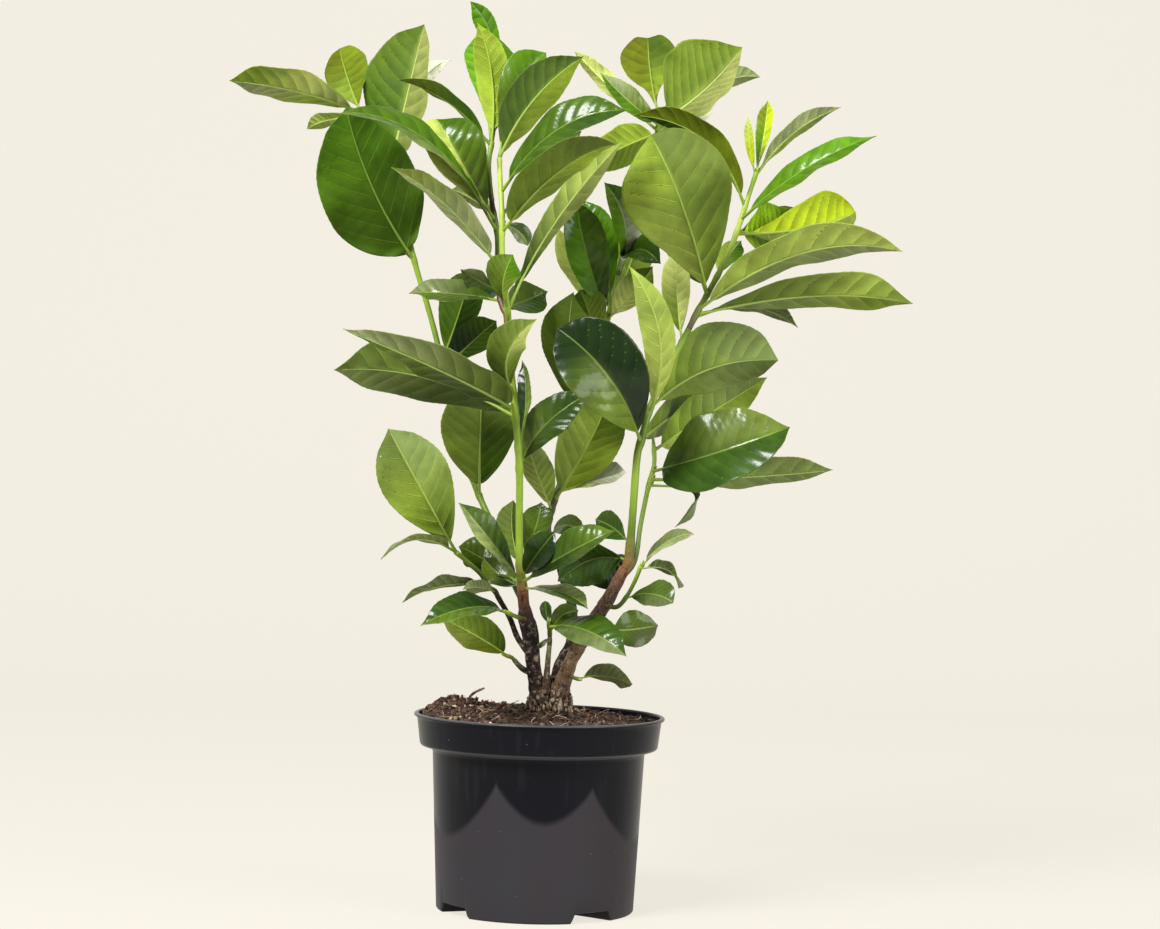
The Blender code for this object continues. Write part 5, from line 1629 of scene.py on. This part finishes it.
def pale_air(looks):
    """A world that lights evenly and white, and that looks as pale as the backdrop past the floor's edge."""
    world = bpy.data.worlds.new("air")
    world.use_nodes = True
    nodes, links = world.node_tree.nodes, world.node_tree.links
    lighting = nodes["Background"]
    lighting.inputs["Color"].default_value = (1, 1, 1, 1)
    lighting.inputs["Strength"].default_value = looks.air
    seen = nodes.new("ShaderNodeBackground")
    seen.inputs["Color"].default_value = opaque(looks.cream)
    kind = nodes.new("ShaderNodeLightPath")
    both = nodes.new("ShaderNodeMixShader")
    links.new(kind.outputs["Is Camera Ray"], both.inputs[0])
    links.new(lighting.outputs[0], both.inputs[1])
    links.new(seen.outputs[0], both.inputs[2])
    links.new(both.outputs[0], nodes["World Output"].inputs["Surface"])
    return world


def colour_property(name, description, default):
    """A colour, whose default is given as eight-bit screen colours."""
    settings = {"subtype": "COLOR", "min": 0.0, "max": 1.0, "default": tuple(linear(default))}
    return FloatVectorProperty(name=name, description=description, **settings)


def share_property(name, description, default, most=1.0):
    """A share, weight or strength."""
    settings = {"subtype": "FACTOR", "min": 0.0, "max": most, "default": default}
    return FloatProperty(name=name, description=description, **settings)


def count_property(name, description, default, most):
    """A number of small things."""
    return IntProperty(name=name, description=description, default=default, min=0, max=most)


def size_property(name, description, default):
    """A size in millimetres."""
    return FloatProperty(name=name, description=description + ", in millimetres", default=default, min=0.0)


class LaurelPotLook(bpy.types.PropertyGroup):
    """The look of the moulded pot."""

    upper: colour_property("Upper colour", "Plastic above the scalloped line", (13, 13, 20))
    # The foot colours paint the reflection of the pale floor below the scalloped line.
    foot: colour_property("Foot colour", "Plastic below the scalloped line", (48, 47, 51))
    warm_floor_reflection: colour_property("Warm foot colour", "Patches below the scalloped line", (50, 45, 49))
    roughness: share_property("Roughness", "Roughness of the glossy zone", 0.26)
    gleam: share_property("Gleam", "Strength of the reflections", 0.13)
    line_height: size_property("Line height", "Middle height of the lobes' bottoms", 64.0)
    line_wave: size_property("Line wave", "Height of the peaks between the lobes", 31.0)


class LaurelPeatLook(bpy.types.PropertyGroup):
    """The look of the peat."""

    crumbs: count_property("Crumbs", "Loose crumbs on the surface", 2600, 4000)
    fibres: count_property("Fibres", "Loose fibres on the surface", 250, 600)


class LaurelWoodLook(bpy.types.PropertyGroup):
    """The look of the bark."""

    flaking: share_property("Flaking", "Share of the pale flakes at the foot", 0.8)
    speckling: share_property("Speckling", "Share of the pale flakes everywhere", 0.2)
    chips: count_property("Chips", "Chips of bark on the crown", 420, 1500)


class LaurelLeafLook(bpy.types.PropertyGroup):
    """The look of the leaves and the green stems."""

    quilt: size_property("Quilting", "Height of the blade between its side veins", 1.15)
    upper_strength: share_property("Upper strength", "Brightness of the upper sides", 1.0, 2.0)
    under_strength: share_property("Under strength", "Brightness of the under sides", 1.0, 2.0)
    stem_strength: share_property("Stem strength", "Brightness of the stems", 1.0, 2.0)
    upper_roughness: share_property("Upper roughness", "Roughness of the upper sides", 0.3)
    upper_gleam: share_property("Upper gleam", "Strength of the upper sides' reflections", 0.08)
    wax: share_property("Wax", "Weight of the clear coat on the upper sides", 0.42)
    under_roughness: share_property("Under roughness", "Roughness of the under sides", 0.58)
    under_gleam: share_property("Under gleam", "Strength of the under sides' reflections", 0.12)


class LaurelStageLook(bpy.types.PropertyGroup):
    """The backdrop, the lights and the camera."""

    cream: colour_property("Backdrop", "Colour of the floor and the wall", (242, 237, 225))
    reflecting: share_property("Reflecting", "Share of the backdrop's colour that reflects light", 0.12)
    glow: share_property("Glow", "Strength of the backdrop's own light", 0.878, 2.0)
    air: share_property("Air", "Strength of the light from all round", 0.25, 3.0)
    key: FloatProperty(name="Key light", description="Power from the upper left", default=112.0, unit="POWER")
    fill: FloatProperty(name="Fill light", description="Power from the right", default=36.0, unit="POWER")
    lens: FloatProperty(name="Lens", description="Focal length of the camera", default=87.434, unit="CAMERA")


def dress(made, node):
    """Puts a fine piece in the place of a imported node."""
    if node not in frame["nodes"]:
        raise RuntimeError("The frame has no node " + node)
    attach(made, BODY)
    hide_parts(node)


class LAUREL_OT_pot(bpy.types.Operator):
    """Build the moulded pot"""

    bl_idname = "laurel.pot"
    bl_label = "Build the pot"

    def execute(self, context):
        looks = context.scene.laurel_pot
        dress(make_pot(pot_skin(looks)), "pot")
        return {"FINISHED"}


class LAUREL_OT_peat(bpy.types.Operator):
    """Build the peat with its crumbs and fibres"""

    bl_idname = "laurel.peat"
    bl_label = "Build the peat"

    def execute(self, context):
        looks = context.scene.laurel_peat
        dress(make_peat(peat_skin(), looks), "peat")
        return {"FINISHED"}


class LAUREL_OT_wood(bpy.types.Operator):
    """Build the woody crown and the loose twig"""

    bl_idname = "laurel.wood"
    bl_label = "Build the wood"

    def execute(self, context):
        looks = context.scene.laurel_wood
        bark = bark_skin(looks)
        dress(make_crown([bark], looks), "crown")
        dress(make_twig([bark]), "loose_twig")
        return {"FINISHED"}


class LAUREL_OT_shoots(bpy.types.Operator):
    """Build every leafy shoot"""

    bl_idname = "laurel.shoots"
    bl_label = "Build the shoots"

    def execute(self, context):
        looks = context.scene.laurel_leaf
        finishes = [upper_skin(looks), under_skin(looks), green_skin(looks)]
        for name in SHOOTS:
            dress(make_shoot(name, finishes, looks), name)
        return {"FINISHED"}


class LAUREL_OT_stage(bpy.types.Operator):
    """Set up the backdrop, the lights and the camera"""

    bl_idname = "laurel.stage"
    bl_label = "Set the stage"

    def execute(self, context):
        scene = context.scene
        looks = scene.laurel_stage
        make_sweep(looks)
        area_light("key", KEY_PLACE, KEY_SIZE, looks.key)
        area_light("fill", FILL_PLACE, FILL_SIZE, looks.fill)
        scene.world = pale_air(looks)
        lens = bpy.data.cameras.new("eye")
        lens.lens, lens.sensor_width = looks.lens, SENSOR_WIDTH
        lens.clip_end = FARTHEST_SEEN
        eye = bpy.data.objects.new("eye", lens)
        eye.location = Vector(EYE) * MM
        eye.rotation_euler = (math.pi / 2, -math.radians(CAMERA_ROLL), 0)
        scene.collection.objects.link(eye)
        scene.camera = eye
        scene.view_settings.view_transform = "Standard"
        return {"FINISHED"}


class LAUREL_PT_panel(bpy.types.Panel):
    """The laurel's looks and its building steps."""

    bl_idname = "LAUREL_PT_panel"
    bl_label = "Potted cherry laurel"
    bl_space_type = "VIEW_3D"
    bl_region_type = "UI"
    bl_category = "Laurel"

    def draw(self, context):
        for name, (look, label) in LOOKS.items():
            box = self.layout.box()
            box.label(text=label)
            for key in look.__annotations__:
                box.prop(getattr(context.scene, name), key)
        for step in OPERATORS:
            self.layout.operator(step.bl_idname)


# Each look's name on the scene, with its class and its label, and the building steps in their order.
LOOKS = {
    "laurel_pot": (LaurelPotLook, "Pot"),
    "laurel_peat": (LaurelPeatLook, "Peat"),
    "laurel_wood": (LaurelWoodLook, "Bark"),
    "laurel_leaf": (LaurelLeafLook, "Leaves"),
    "laurel_stage": (LaurelStageLook, "Stage"),
}
OPERATORS = (LAUREL_OT_pot, LAUREL_OT_peat, LAUREL_OT_wood, LAUREL_OT_shoots, LAUREL_OT_stage)


def register():
    """Registers the classes and gives the scene its looks."""
    for look, _ in LOOKS.values():
        bpy.utils.register_class(look)
    for kind in (*OPERATORS, LAUREL_PT_panel):
        bpy.utils.register_class(kind)
    for name, (look, _) in LOOKS.items():
        setattr(bpy.types.Scene, name, PointerProperty(type=look))


def unregister():
    """Takes the looks and the classes away again."""
    for name in LOOKS:
        delattr(bpy.types.Scene, name)
    for kind in (LAUREL_PT_panel, *OPERATORS):
        bpy.utils.unregister_class(kind)
    for look, _ in LOOKS.values():
        bpy.utils.unregister_class(look)


def main():
    """Builds every piece and the stage."""
    register()
    bpy.ops.laurel.pot()
    bpy.ops.laurel.peat()
    bpy.ops.laurel.wood()
    bpy.ops.laurel.shoots()
    bpy.ops.laurel.stage()


if __name__ == "__main__":
    main()
